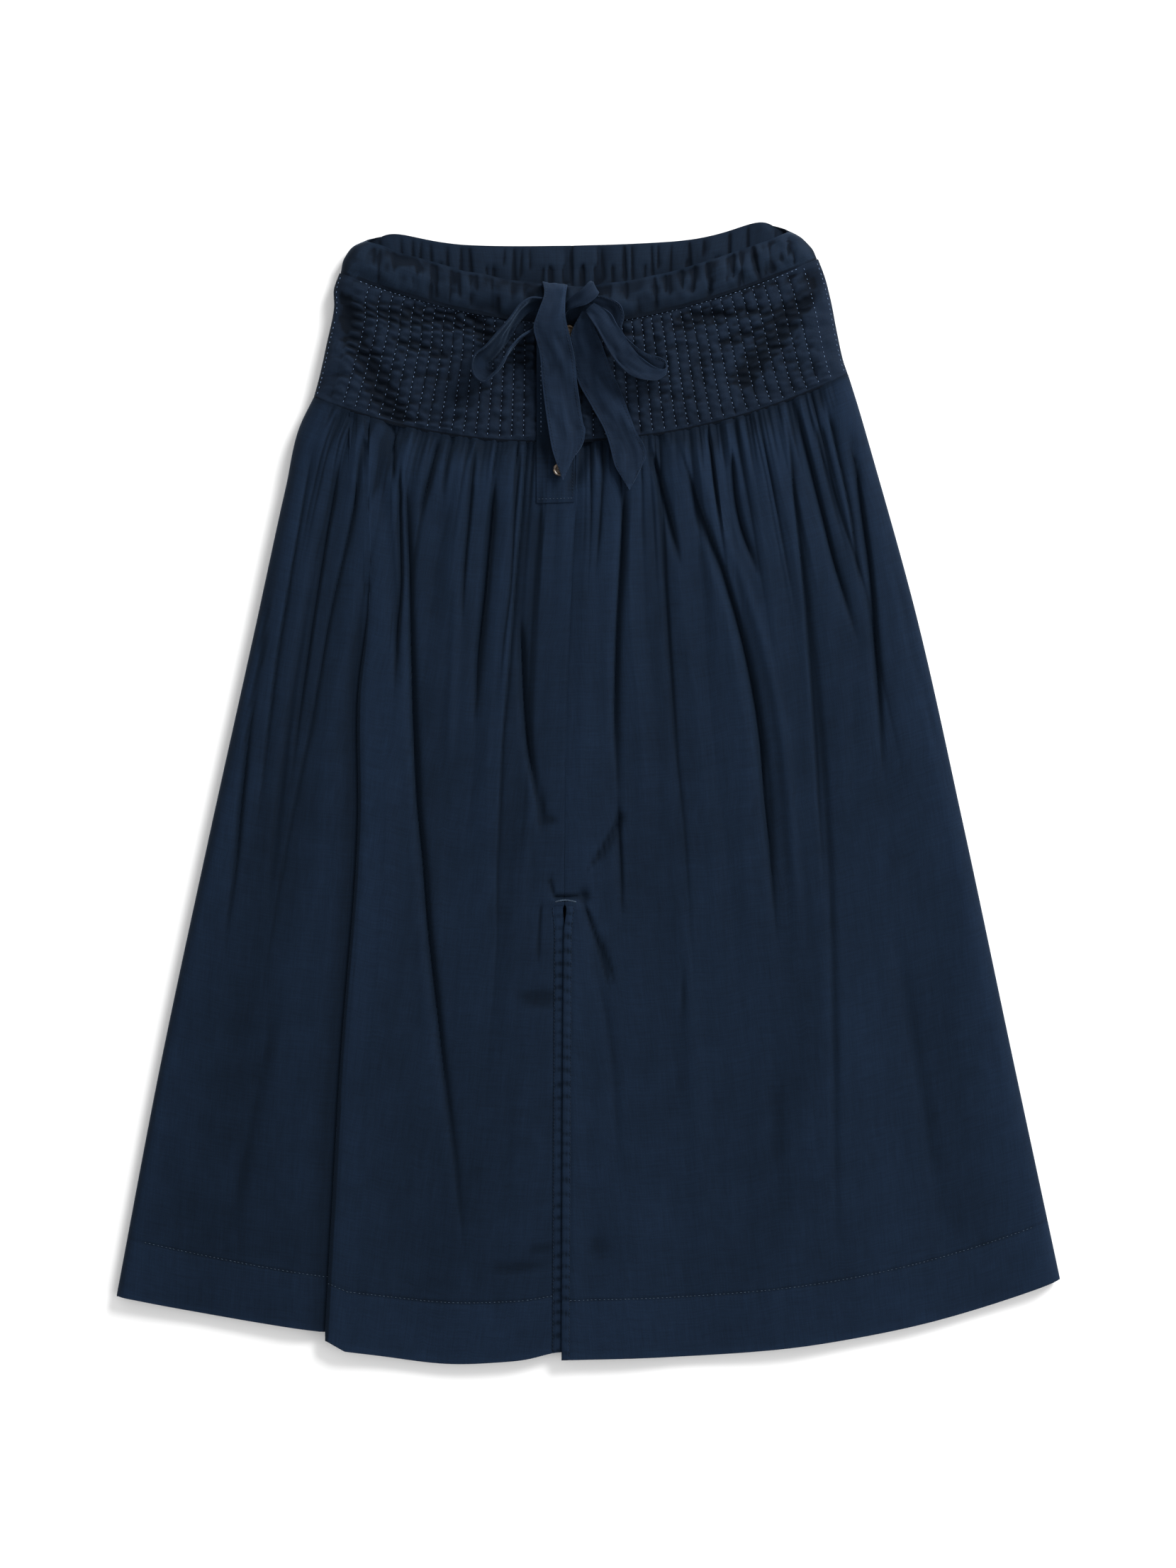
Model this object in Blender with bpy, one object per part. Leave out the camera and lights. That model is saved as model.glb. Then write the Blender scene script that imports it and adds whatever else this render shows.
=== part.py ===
"""A gathered midi skirt with a quilted yoke and a drawstring band, laid flat on its back.

The waist points to +Y and the front faces +Z. Tables are in millimetres, and MM turns them into metres.
Every panel is a wall of cloth: an outer face worked out from section lines that run across the skirt, and an
inner face set back from it. A section line has two ends on the side seams and dips towards the hem between them.
"""

import math

import bmesh
import bpy
import numpy as np

MM = 0.001
SEAM_GAP = 0.3
SKIRT_WALL = 1.2
HEM_WALL = 1.9
YOKE_WALL = 1.8
BAND_WALL = 2.0
TIE_WALL = 1.5
TIE_WIDTH = 25.5
LOOP_SECTIONS = 12
# How far in from a side the soft fold reaches, as a multiple of its radius.
TURN_REACH = 1.5
LOOP_PINCH = 0.45
KNOT_WALL = 3.0

# Section lines. along runs from 0 at a panel's upper edge to 1 at its lower edge; lx, ly and rx, ry are the left
# and right ends; dip is how far the middle hangs below the chord, with its power; lift is the height of the cloth
# at mid width, and roll is the radius of the soft fold at the side.
COLUMNS = ("along", "lx", "ly", "rx", "ry", "dip", "power", "lift", "roll")
FRONT_BAND = (
    (0.00, -173.3, 430.5, 156.8, 437.5, 40.4, 1.65, 21.0, 8.0),
    (0.50, -187.5, 418.0, 171.0, 425.5, 43.0, 1.70, 21.5, 8.5),
    (1.00, -192.5, 405.9, 178.8, 416.9, 45.8, 1.75, 19.5, 8.5),
)
FRONT_YOKE = (
    (0.00, -193.5, 405.5, 179.8, 416.5, 45.8, 1.75, 18.0, 8.5),
    (0.12, -197.5, 394.4, 184.5, 404.0, 45.4, 1.80, 18.0, 8.8),
    (0.30, -197.6, 379.0, 189.0, 387.0, 45.0, 1.90, 18.0, 9.0),
    (0.60, -203.6, 349.5, 194.5, 359.0, 44.2, 2.05, 18.0, 9.0),
    (0.85, -209.4, 323.5, 199.4, 337.0, 43.6, 2.15, 17.0, 8.8),
    (1.00, -213.4, 309.1, 202.8, 327.3, 43.4, 2.20, 15.5, 8.5),
)
FRONT_SKIRT = (
    (0.00, -213.6, 308.8, 203.0, 327.0, 43.4, 2.20, 15.5, 8.5),
    (0.03, -223.6, 288.0, 209.4, 306.3, 43.8, 2.20, 20.5, 9.5),
    (0.10, -235.1, 239.1, 223.7, 257.0, 44.6, 2.25, 20.0, 9.5),
    (0.25, -258.0, 134.1, 253.2, 151.0, 46.5, 2.30, 16.5, 8.8),
    (0.50, -296.8, -41.0, 293.2, -25.3, 49.7, 2.40, 13.5, 8.0),
    (0.75, -334.1, -216.0, 330.7, -201.6, 52.8, 2.50, 11.5, 7.0),
    (1.00, -367.4, -391.0, 368.5, -377.9, 56.0, 2.60, 10.8, 6.3),
)
BACK_DIPS = {"band": (5.5, 16.6), "yoke": (16.6, 14.4), "skirt": (14.4, 26.6)}
# The back band's upper edge rises to a soft horn near each side, where the front turns away from it.
BACK_HORNS = (4.0, 8.0)

# The centre front line: how far the front panels' meeting edge lies to the left, from the waist to the hem.
CENTRE_LINE = ((450.0, -9.9), (227.0, -9.9), (160.0, -13.2), (87.0, -16.0), (-80.0, -17.8), (-445.0, -19.8))

# The slit in the centre front seam: its top, and how far its edges stand apart there and at the hem.
SLIT_TOP_Y = -83.6
SLIT_GAP_TOP = 2.4
SLIT_GAP_HEM = 1.0
SLIT_OVERLAP_LIFT = 1.2

# Gathers along the yoke seam. Each is a crest and a valley between two columns of the panel.
GATHERS_LEFT = 22
GATHERS_RIGHT = 24
GATHER_HEIGHT = 3.0
GATHER_REACH = (0.08, 0.34)

# Creases of the skirt front: x1, y1, x2, y2, x3, y3, height, width. The three points run from the upper to the
# lower end, height is up for a ridge and down for a trough, and width is the half width of its slope.
SKIRT_CREASES = (
    (-226.0, 271.0, -255.0, 100.0, -284.0, -144.0, -2.6, 6.0),
    (-196.0, 268.0, -229.0, 80.0, -252.0, -121.0, -3.4, 7.0),
    (-160.0, 270.0, -150.0, 150.0, -146.0, 65.0, -3.2, 6.5),
    (-142.5, 251.0, -129.0, -60.0, -92.0, -382.0, -3.6, 8.0),
    (-117.0, 271.0, -126.0, 235.0, -131.0, 205.0, -3.0, 6.0),
    (-71.5, 240.0, -80.0, 150.0, -90.0, 40.0, -3.2, 7.0),
    (-101.0, 170.0, -105.0, 90.0, -109.0, 0.0, 2.2, 8.0),
    (-52.8, 240.0, -62.0, 140.0, -69.0, 50.0, 2.6, 7.0),
    (-52.8, 136.0, -48.0, 50.0, -34.0, -30.0, -3.6, 7.0),
    (29.7, 234.0, 21.5, 100.0, 24.0, -18.0, -3.0, 7.5),
    (26.0, -10.0, 20.0, -36.0, -4.0, -66.0, -3.0, 6.0),
    (49.5, 264.0, 63.0, 215.0, 72.0, 170.0, -3.4, 6.5),
    (68.8, 262.0, 120.0, 120.0, 150.0, -140.0, -4.6, 8.0),
    (84.0, 262.0, 138.0, 110.0, 168.0, -150.0, 3.0, 9.0),
    (110.6, 261.0, 119.0, 210.0, 134.0, 165.0, -3.8, 6.5),
    (152.4, 290.0, 180.0, 60.0, 196.0, -410.0, -2.4, 7.0),
    (163.0, 294.0, 189.0, 190.0, 213.0, 110.0, -3.6, 6.5),
    (203.0, 285.0, 219.0, 170.0, 231.0, 0.0, -3.0, 6.5),
    (222.0, 270.0, 262.0, 90.0, 306.0, -85.0, -2.4, 7.0),
    (-6.0, -95.0, 17.0, -190.0, 25.0, -310.0, -2.6, 8.0),
    (-46.0, 30.0, -58.0, -120.0, -66.0, -260.0, 1.8, 14.0),
    (70.0, -60.0, 82.0, -200.0, 92.0, -400.0, 2.0, 18.0),
    (-240.0, -150.0, -262.0, -260.0, -284.0, -380.0, -1.8, 14.0),
    (236.0, -90.0, 258.0, -220.0, 282.0, -370.0, -1.8, 14.0),
)

# Dents of the yoke front, each a soft trough along a line: x1, y1, x2, y2, depth, width.
YOKE_DENTS = (
    (-196.0, 384.0, -150.0, 292.0, 4.2, 10.0),
    (-184.0, 376.0, -106.0, 368.0, 2.6, 8.0),
    (-100.0, 366.0, -40.0, 344.0, 1.6, 9.0),
    (72.0, 366.0, 96.0, 372.0, 2.4, 8.0),
    (196.0, 384.0, 128.0, 312.0, 3.8, 11.0),
    (-64.0, 336.0, -42.0, 333.0, 1.4, 5.0),
    (120.0, 392.0, 168.0, 402.0, 1.8, 7.0),
)

# The deep fold that runs down the left front to the hem, where the cloth laps over itself.
LAP_LINE = ((224.0, -172.0), (148.0, -170.0), (75.0, -177.0), (-16.0, -177.0), (-210.0, -191.0), (-424.0, -203.0))
LAP_COLUMN = 0.31
LAP_START = 0.10
LAP_FULL = 0.30
LAP_OVERLAP_HEM = 9.0
LAP_SWELL = 3.2
LAP_SWELL_WIDTH = 42.0
# The lap's profile from left to right: the part of the overlap, a plain shift across, and the height.
LAP_PROFILE = (
    (0.00, -9.0, -1.2),
    (0.00, -4.0, -1.8),
    (0.50, 0.0, -2.2),
    (1.00, 0.6, -1.5),
    (1.00, 1.0, -0.3),
    (0.60, 0.4, 0.6),
    (0.05, -0.4, 0.9),
    (0.00, -2.0, 2.5),
    (0.00, -1.0, 4.2),
    (0.10, 1.8, 4.6),
    (0.10, 4.8, 4.0),
)
LAP_WALL = 1.0
LAP_HEM_RISE = 12.3

# The quilted channels of the yoke: their count on each front, how far they lean, and how high they stand.
CHANNELS_LEFT = 17
CHANNELS_RIGHT = 21
CHANNEL_LEAN = 0.07
CHANNEL_HEIGHT = 1.5
PUCKER_HEIGHT = 0.5

PLACKET_LEFT = -39.6
PLACKET_RIGHT = -10.4
PLACKET_BOTTOM = 0.068
PLACKET_WALL = 1.3
BUTTON_RADIUS = 5.0
BUTTON_THICKNESS = 2.4

FINISHES = {
    "skirt_cloth": ((0.0097, 0.0185, 0.0343), 0.85),
    "yoke_cloth": ((0.0097, 0.0160, 0.0284), 0.85),
    "band_cloth": ((0.0091, 0.0160, 0.0284), 0.85),
    "tie_cloth": ((0.0130, 0.0232, 0.0452), 0.85),
    "horn": ((0.0560, 0.0300, 0.0140), 0.35),
}


def finish(name):
    """The material of a finish, made once."""
    material = bpy.data.materials.get(name) or bpy.data.materials.new(name)
    material.use_nodes = True
    colour, roughness = FINISHES[name]
    shader = material.node_tree.nodes["Principled BSDF"]
    shader.inputs["Base Color"].default_value = (*colour, 1.0)
    shader.inputs["Roughness"].default_value = roughness
    return material


def uneven(number, kind):
    """A fixed number from 0 to 1 that differs from one gather to the next."""
    value = math.sin(number * 12.9898 + kind * 78.233) * 43758.5453
    return value - math.floor(value)


def ease(value):
    """0 below 0, 1 above 1, and a soft step between."""
    value = np.clip(value, 0.0, 1.0)
    return value * value * (3.0 - 2.0 * value)


def smooth_through(xs, ys, x):
    """A smooth curve through the points, read at x. xs rise."""
    xs, ys = np.asarray(xs, float), np.asarray(ys, float)
    slopes = np.gradient(ys, xs)
    x = np.clip(x, xs[0], xs[-1])
    i = np.clip(np.searchsorted(xs, x, side="right") - 1, 0, len(xs) - 2)
    step = xs[i + 1] - xs[i]
    t = (x - xs[i]) / step
    return (
        (1 + 2 * t) * (1 - t) ** 2 * ys[i]
        + t * (1 - t) ** 2 * step * slopes[i]
        + t * t * (3 - 2 * t) * ys[i + 1]
        + t * t * (t - 1) * step * slopes[i + 1]
    )


def section(table, along):
    """The section line at along, as a dictionary of its columns."""
    stations = [row[0] for row in table]
    return {
        column: smooth_through(stations, [row[k] for row in table], along)
        for k, column in enumerate(COLUMNS)
    }


def line_at(points, y):
    """The x of a line given from top to bottom, at the height y."""
    rising = points[::-1]
    return smooth_through([p[0] for p in rising], [p[1] for p in rising], y)


def line_height(line, x, dip=None):
    """The y of a section line at x."""
    middle = (line["lx"] + line["rx"]) / 2
    half = (line["rx"] - line["lx"]) / 2
    share = np.clip((x - middle) / half, -1.0, 1.0)
    chord = line["ly"] + (line["ry"] - line["ly"]) * (share + 1) / 2
    power = 2.0 if dip is not None else line["power"]
    return chord - (line["dip"] if dip is None else dip) * (1 - abs(share) ** power)


def edge_turn(line, x):
    """How far round the side fold x lies: 0 on the flat part and 1 at the very edge, and the room from the edge."""
    reach = line["roll"] * TURN_REACH
    room = np.minimum(x - line["lx"], line["rx"] - x)
    return np.clip(1 - room / reach, 0.0, 1.0), room


def crease_depth(x, y):
    """The height that the skirt's creases add at a point."""
    total = np.zeros(np.broadcast(x, y).shape)
    for x1, y1, x2, y2, x3, y3, height, width in SKIRT_CREASES:
        centre = smooth_through([y3, y2, y1], [x3, x2, x1], y)
        fade = ease((y - y3) / (0.35 * (y1 - y3))) * ease((y1 + 6 - y) / (0.22 * (y1 - y3)))
        total += height * fade * np.exp(-(((x - centre) / width) ** 2))
    return total


def dent_depth(x, y):
    """The height that the yoke's dents take away at a point."""
    total = np.zeros(np.broadcast(x, y).shape)
    for x1, y1, x2, y2, depth, width in YOKE_DENTS:
        length = math.hypot(x2 - x1, y2 - y1)
        t = np.clip(((x - x1) * (x2 - x1) + (y - y1) * (y2 - y1)) / length**2, 0.0, 1.0)
        away = np.hypot(x - x1 - t * (x2 - x1), y - y1 - t * (y2 - y1))
        total -= depth * np.exp(-((away / width) ** 2))
    return total


def front_height(line, x):
    """The height of the front's outer face over a section line, before gathers and creases."""
    turn, room = edge_turn(line, x)
    rolled = line["roll"] * (1 + np.sqrt(1 - turn**2))
    return rolled + (line["lift"] - 2 * line["roll"]) * ease(room / 75.0)


def back_height(line, x):
    """The height of the back's outer face: flat on the floor, and turned up at the sides."""
    turn, _ = edge_turn(line, x)
    return line["roll"] * (1 - np.sqrt(1 - turn**2))


def edge_columns(line, towards, count):
    """The x of columns round a side fold, from the edge inwards. towards is 1 at the left and -1 at the right."""
    reach = line["roll"] * TURN_REACH
    angles = [math.pi / 2 * (1 - k / count) for k in range(count)]
    edge = line["lx"] if towards > 0 else line["rx"]
    return [edge + towards * reach * (1 - math.sin(angle)) for angle in angles]


def set_back(face, wall, ends, upward=True):
    """The inner face of a wall, whose outer face looks up or, for the back, down. ends names what is nulled of
    the normal at each edge: first two and last row, then first and last column, so that two panels' edges stand
    square to each other at a seam."""
    down = np.gradient(face, axis=0)
    over = np.gradient(face, axis=1)
    normal = np.cross(down, over)
    normal /= np.linalg.norm(normal, axis=2, keepdims=True)
    if (normal[normal.shape[0] // 2, normal.shape[1] // 2, 2] > 0) != upward:
        normal = -normal
    for edge, axis in zip((np.s_[:2, :], np.s_[-1, :], np.s_[:, 0], np.s_[:, -1]), ends):
        if axis is not None:
            normal[(*edge, axis)] = 0.0
    normal /= np.linalg.norm(normal, axis=2, keepdims=True)
    return face - normal * wall


def cloth_wall(name, outer, inner, material):
    """A closed wall of cloth between two faces, given in millimetres as rows of points."""
    rows, columns = outer.shape[:2]
    mesh = bmesh.new()
    bmesh.ops.create_grid(mesh, x_segments=columns - 1, y_segments=rows - 1, size=0.5)
    first = list(mesh.verts)
    copied = bmesh.ops.extrude_face_region(mesh, geom=mesh.faces[:])
    second = [item for item in copied["geom"] if isinstance(item, bmesh.types.BMVert)]
    for verts, face in ((first, outer), (second, inner)):
        for vert in verts:
            row = round((vert.co.y + 0.5) * (rows - 1))
            column = round((vert.co.x + 0.5) * (columns - 1))
            vert.co = face[row, column] * MM
    # Both faces are split along the same diagonals, so that a thin wall doesn't cross itself.
    bmesh.ops.triangulate(mesh, faces=mesh.faces[:], quad_method="FIXED")
    bmesh.ops.recalc_face_normals(mesh, faces=mesh.faces[:])
    return place(name, mesh, material)


def place(name, mesh, material):
    """A named object from a bmesh."""
    data = bpy.data.meshes.new(name)
    mesh.to_mesh(data)
    mesh.free()
    data.shade_smooth()
    data.set_sharp_from_angle(angle=math.radians(30.0))
    data.materials.append(finish(material))
    thing = bpy.data.objects.new(name, data)
    bpy.context.scene.collection.objects.link(thing)
    return thing


def gather_columns(count, kind):
    """The shares of a panel's width where its gathers' valleys and crests lie, from 0 to 1, with the crest's size."""
    shares, sizes = [0.0], [0.0]
    for k in range(1, 2 * count):
        shift = 0.5 * (uneven(k, kind) - 0.5)
        shares.append((k + shift) / (2 * count))
        sizes.append((1.0 if k % 2 else -1.0) * (0.45 + 0.9 * uneven(k, kind + 1)))
    return shares + [1.0], sizes + [0.0]


def gather_fade(along, reach):
    """How much of a gather is left at along: it puffs up just below the seam and dies out at its reach."""
    return ease(along / 0.012 + 0.25) * (1 - ease(along / reach))


SKIRT_ROWS = (0.0, 0.008, 0.025, 0.055, 0.10, 0.165, 0.25, 0.35, 0.47, 0.60, 0.73, 0.86, 0.93, 1.0)
EDGE_COLUMNS = 3


def skirt_front(side):
    """The outer face of one skirt front, rows from the yoke seam to the hem, columns from left to right."""
    left = side == "left"
    count, kind = (GATHERS_LEFT, 1) if left else (GATHERS_RIGHT, 5)
    shares, sizes = gather_columns(count, kind)
    rows = []
    for along in SKIRT_ROWS:
        line = section(FRONT_SKIRT, along)
        gap = SEAM_GAP / 2
        chord_y = (line["ly"] + line["ry"]) / 2 - line["dip"]
        centre = line_at(CENTRE_LINE, chord_y)
        slit = ease((SLIT_TOP_Y - chord_y) / 12.0)
        opening = SLIT_GAP_TOP + (SLIT_GAP_HEM - SLIT_GAP_TOP) * ease((SLIT_TOP_Y - chord_y) / 120.0)
        gap += slit * opening / 2
        edge = edge_columns(line, 1 if left else -1, EDGE_COLUMNS)
        inner_edge = (line["lx"] if left else line["rx"]) + (1 if left else -1) * line["roll"] * TURN_REACH
        xs, puffs = [], []
        for k, share in enumerate(shares):
            if left:
                share = warp(share, along, line, centre)
                xs.append(inner_edge + (centre - gap - inner_edge) * share)
            else:
                xs.append(centre + gap + (inner_edge - centre - gap) * share)
            reach = GATHER_REACH[0] + (GATHER_REACH[1] - GATHER_REACH[0]) * uneven(k, kind + 2) ** 2
            puffs.append(GATHER_HEIGHT * sizes[k] * gather_fade(along, reach))
        none = [0.0] * EDGE_COLUMNS
        xs = edge + xs if left else xs + edge[::-1]
        puffs = none + puffs if left else puffs + none
        x = np.array(xs)
        y = line_height(line, x)
        turn, room = edge_turn(line, x)
        calm = ease(room / 22.0)
        z = front_height(line, x) + np.array(puffs) * calm + crease_depth(x, y) * calm
        z += 1.0 * along * calm * (np.sin(x / 31.0 + 2.2) + 0.7 * np.sin(x / 19.0 + 6 * along))
        lift = ease(1 - abs(x - centre) / 30.0) * slit * SLIT_OVERLAP_LIFT
        z += -lift * 0.4 if left else lift
        if left:
            y = y - 4.0 * along**6 * np.exp(-(((x + 110.0) / 45.0) ** 2))
            y = y + 6.0 * along**6 * np.exp(-(((x + 20.0) / 22.0) ** 2))
        z[0 if left else -1] = line["roll"] + SEAM_GAP / 2
        rows.append(np.stack([x, y, z], axis=1))
    face = np.array(rows)
    return with_lap(face) if left else face


def lap_share(along, line, centre):
    """The share of the left panel's width where the lap's edge lies."""
    chord_y = (line["ly"] + line["ry"]) / 2 - line["dip"] * 0.7
    inner_edge = line["lx"] + line["roll"] * TURN_REACH
    return (line_at(LAP_LINE, chord_y) - inner_edge) / (centre - inner_edge)


def warp(share, along, line, centre):
    """Shifts the left panel's columns sideways so that one of them follows the lap."""
    home = LAP_COLUMN
    target = lap_share(along, line, centre)
    if share <= home:
        return share * target / home
    return target + (share - home) * (1 - target) / (1 - home)


def lap_split():
    """The column of the left panel where its lap is let in."""
    shares, _ = gather_columns(GATHERS_LEFT, 1)
    return EDGE_COLUMNS + int(np.searchsorted(shares, LAP_COLUMN))


def with_lap(face):
    """Opens the left panel at the lap's column and sets the folded columns in."""
    split = lap_split()
    before, after = face[:, : split - 1].copy(), face[:, split + 1 :].copy()
    rows = []
    levels = (before[:, -1, 2] + after[:, 0, 2]) / 2
    for r, along in enumerate(SKIRT_ROWS):
        folded = ease((along - LAP_START) / (LAP_FULL - LAP_START))
        overlap = LAP_OVERLAP_HEM * ease((along - LAP_START) / (1 - LAP_START))
        a, b = before[r, -1], after[r, 0]
        row = []
        last = len(LAP_PROFILE) - 1
        for k, (part, shift, height) in enumerate(LAP_PROFILE):
            t = (k + 0.5) / (last + 1)
            flat = a + (b - a) * t
            edge_x = line_at(LAP_LINE, flat[1])
            lapped = np.array([edge_x + part * overlap + shift, flat[1], levels[r] + height])
            row.append(flat + (lapped - flat) * folded)
        rows.append(row)
        for part, way in ((before, -0.45), (after, 1.0)):
            away = (part[r, :, 0] - line_at(LAP_LINE, part[r, :, 1])) / LAP_SWELL_WIDTH
            part[r, :, 2] += way * LAP_SWELL * folded * np.exp(-(away**2)) * (1 if way > 0 else ease(-2 * away))
    face = np.concatenate([before, np.array(rows), after], axis=1)
    # Left of the lap the hem lies a little higher, because the fold takes up its length.
    for r, along in enumerate(SKIRT_ROWS):
        x = face[r, :, 0]
        edge_x = line_at(LAP_LINE, face[r, split, 1])
        left_end = face[r, 0, 0]
        share = np.clip((edge_x + 4.0 - x) / (edge_x + 4.0 - left_end), 0.0, 1.0)
        under = np.arange(face.shape[1]) < split + 5
        fall = (1 - share**2.2) * np.where(under, 1.0, np.clip(1 - (x - edge_x) / 14.0, 0, 1) * 0.5)
        face[r, :, 1] += LAP_HEM_RISE * along**5 * fall
    return face


def straighten_above_lap(inner):
    """Lays the lap's columns of the inner face in a straight line in the rows above the lap."""
    first, last = lap_split() - 1, lap_split() + len(LAP_PROFILE)
    share = np.linspace(0.0, 1.0, last - first + 1)[:, None]
    for r, along in enumerate(SKIRT_ROWS):
        if along <= LAP_START:
            inner[r, first : last + 1] = inner[r, first] * (1 - share) + inner[r, last] * share


YOKE_ROWS = tuple(k / 8 for k in range(9))


def yoke_front(side):
    """The outer face of one yoke front with its raised channels, rows from the band seam down."""
    left = side == "left"
    channels = CHANNELS_LEFT if left else CHANNELS_RIGHT
    rows = []
    for r, along in enumerate(YOKE_ROWS):
        line = section(FRONT_YOKE, along)
        centre = line_at(CENTRE_LINE, 300.0) + (-1 if left else 1) * SEAM_GAP / 2
        inner_edge = (line["lx"] if left else line["rx"]) + (1 if left else -1) * line["roll"] * TURN_REACH
        start = PLACKET_LEFT - 1.0 if left else centre + 4.0
        edge = edge_columns(line, 1 if left else -1, 2)
        xs, puffs = [], []
        for k in range(2 * channels + 1):
            share = k / (2 * channels)
            lean = CHANNEL_LEAN * (1 - along) * math.sin(math.pi * share) ** 0.5
            xs.append(inner_edge + (start - inner_edge) * min(share + lean * (1 - share), 1.0))
            crest = k % 2
            pucker = PUCKER_HEIGHT * (1 if (r + k // 2) % 2 else -1)
            puffs.append(crest * (CHANNEL_HEIGHT + pucker))
        xs, puffs = edge + xs, [0.0] * 2 + puffs
        closing = (start + (centre - start) / 2, centre) if left else (centre,)
        xs, puffs = xs + list(closing), puffs + [0.0] * len(closing)
        x = np.array(xs if left else xs[::-1])
        puff = np.array(puffs if left else puffs[::-1])
        y = line_height(line, x)
        _, room = edge_turn(line, x)
        calm = ease(room / 18.0)
        flat_end = ease(min(along, 1 - along) / 0.06)
        under_placket = np.where(x > PLACKET_LEFT - 4.0, -1.2 * ease((x - PLACKET_LEFT + 4.0) / 4.0), 0.0)
        if not left:
            under_placket = 0.0 * x
        z = front_height(line, x) + puff * calm * flat_end + dent_depth(x, y) * calm * flat_end + under_placket
        z[0 if left else -1] = line["roll"] + SEAM_GAP / 2
        rows.append(np.stack([x, y, z], axis=1))
    return np.array(rows)


BAND_COLUMNS = 50
BAND_ROWS = (0.0, 0.12, 0.5, 0.88, 1.0)


def band_ripple(k, along):
    """The gathers that the drawstring draws into the band, at column k."""
    return (1.3 if k % 2 else -0.8) * (0.3 + uneven(k, 9)) * math.sin(math.pi * along) ** 0.5


def band_front():
    """The outer face of the band's front, rows from its upper edge to the yoke seam."""
    rows = []
    for along in BAND_ROWS:
        line = section(FRONT_BAND, along)
        left = edge_columns(line, 1, EDGE_COLUMNS)
        right = edge_columns(line, -1, EDGE_COLUMNS)[::-1]
        reach = line["roll"] * TURN_REACH
        inside = np.linspace(line["lx"] + reach, line["rx"] - reach, BAND_COLUMNS + 1)
        x = np.array([*left, *inside, *right])
        y = line_height(line, x)
        _, room = edge_turn(line, x)
        ripple = np.array([band_ripple(k, along) for k in range(len(x))])
        z = front_height(line, x) + ripple * ease(room / 20.0)
        z[[0, -1]] = line["roll"] + SEAM_GAP / 2
        rows.append(np.stack([x, y, z], axis=1))
    return np.array(rows)


def back_face(name, table, alongs, columns, wall_of):
    """Both faces of a back piece: the outer face flat on the floor and turned up at the sides."""
    dip_top, dip_low = BACK_DIPS[name]
    rows = []
    for along in alongs:
        line = section(table, along)
        left = edge_columns(line, 1, EDGE_COLUMNS)
        right = edge_columns(line, -1, EDGE_COLUMNS)[::-1]
        reach = line["roll"] * TURN_REACH
        inside = np.linspace(line["lx"] + reach, line["rx"] - reach, columns + 1)
        x = np.array([*left, *inside, *right])
        y = line_height(line, x, dip_top + (dip_low - dip_top) * along)
        if name == "band":
            share = np.linspace(-1, 1, len(x))
            horn = np.where(share < 0, *BACK_HORNS) * 4 * abs(share) ** 6 * (1 - abs(share) ** 6)
            y = y + horn * (1 - along)
        z = back_height(line, x)
        z[[0, -1]] = line["roll"] - SEAM_GAP / 2
        rows.append(np.stack([x, y, z], axis=1))
    outer = np.array(rows)
    wall = np.array([[wall_of(k, along) for k in range(outer.shape[1])] for along in alongs])[..., None]
    inner = set_back(outer, wall, (1, 1, 2, 2), upward=False)
    return outer, inner


def part_rows(face, gap, first=True, last=True):
    """Pulls a panel's first and last rows back from the seam line by half a gap."""
    face = face.copy()
    if first:
        face[0, :, 1] -= gap / 2
    if last:
        face[-1, :, 1] += gap / 2
    return face


def point_at(table, along, x, extra):
    """A point of the front's outer face over the centre, moved out by extra."""
    line = section(table, along)
    return [x, line_height(line, x), front_height(line, x) + extra]


def make_placket():
    """The buttoned strip down the left yoke front and over the top of the skirt."""
    alongs = [("yoke", v) for v in (0.03, 0.2, 0.4, 0.6, 0.8, 0.97)]
    alongs += [("skirt", v) for v in (0.008, 0.025, 0.045, PLACKET_BOTTOM)]
    xs = np.linspace(PLACKET_LEFT, PLACKET_RIGHT, 7)
    rows = []
    for table, along in alongs:
        lines = FRONT_YOKE if table == "yoke" else FRONT_SKIRT
        extra = 1.6 if table == "yoke" else 5.6 * ease(1 - along / 0.03) + 4.2 * ease(along / 0.03)
        rows.append([point_at(lines, along, x, extra) for x in xs])
    outer = np.array(rows)
    inner = set_back(outer, PLACKET_WALL, (1, 1, 0, 0))
    cloth_wall("placket", outer, inner, "yoke_cloth")


def ribbon(name, rows, wall):
    """A strip of the tie through sections of x, y, z, width, turn and tilt. turn is the bearing of the strip's
    width from +X, and tilt is how far its right edge stands up, in degrees."""
    rows = np.array(rows, float)
    stations = np.linspace(0, len(rows) - 1, 2 * (len(rows) - 1) + 1)
    x, y, z, width, turn, tilt = (smooth_through(range(len(rows)), column, stations) for column in rows.T)
    turn, tilt = np.radians(turn), np.radians(tilt)
    over = np.stack([np.cos(turn) * np.cos(tilt), np.sin(turn) * np.cos(tilt), np.sin(tilt)], axis=1)
    centre = np.stack([x, y, z], axis=1)
    outer = np.stack([centre + over * (width * s)[:, None] for s in (-0.5, -0.17, 0.17, 0.5)], axis=1)
    inner = set_back(outer, wall, (None, None, None, None))
    cloth_wall(name, outer, inner, "tie_cloth")


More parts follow.
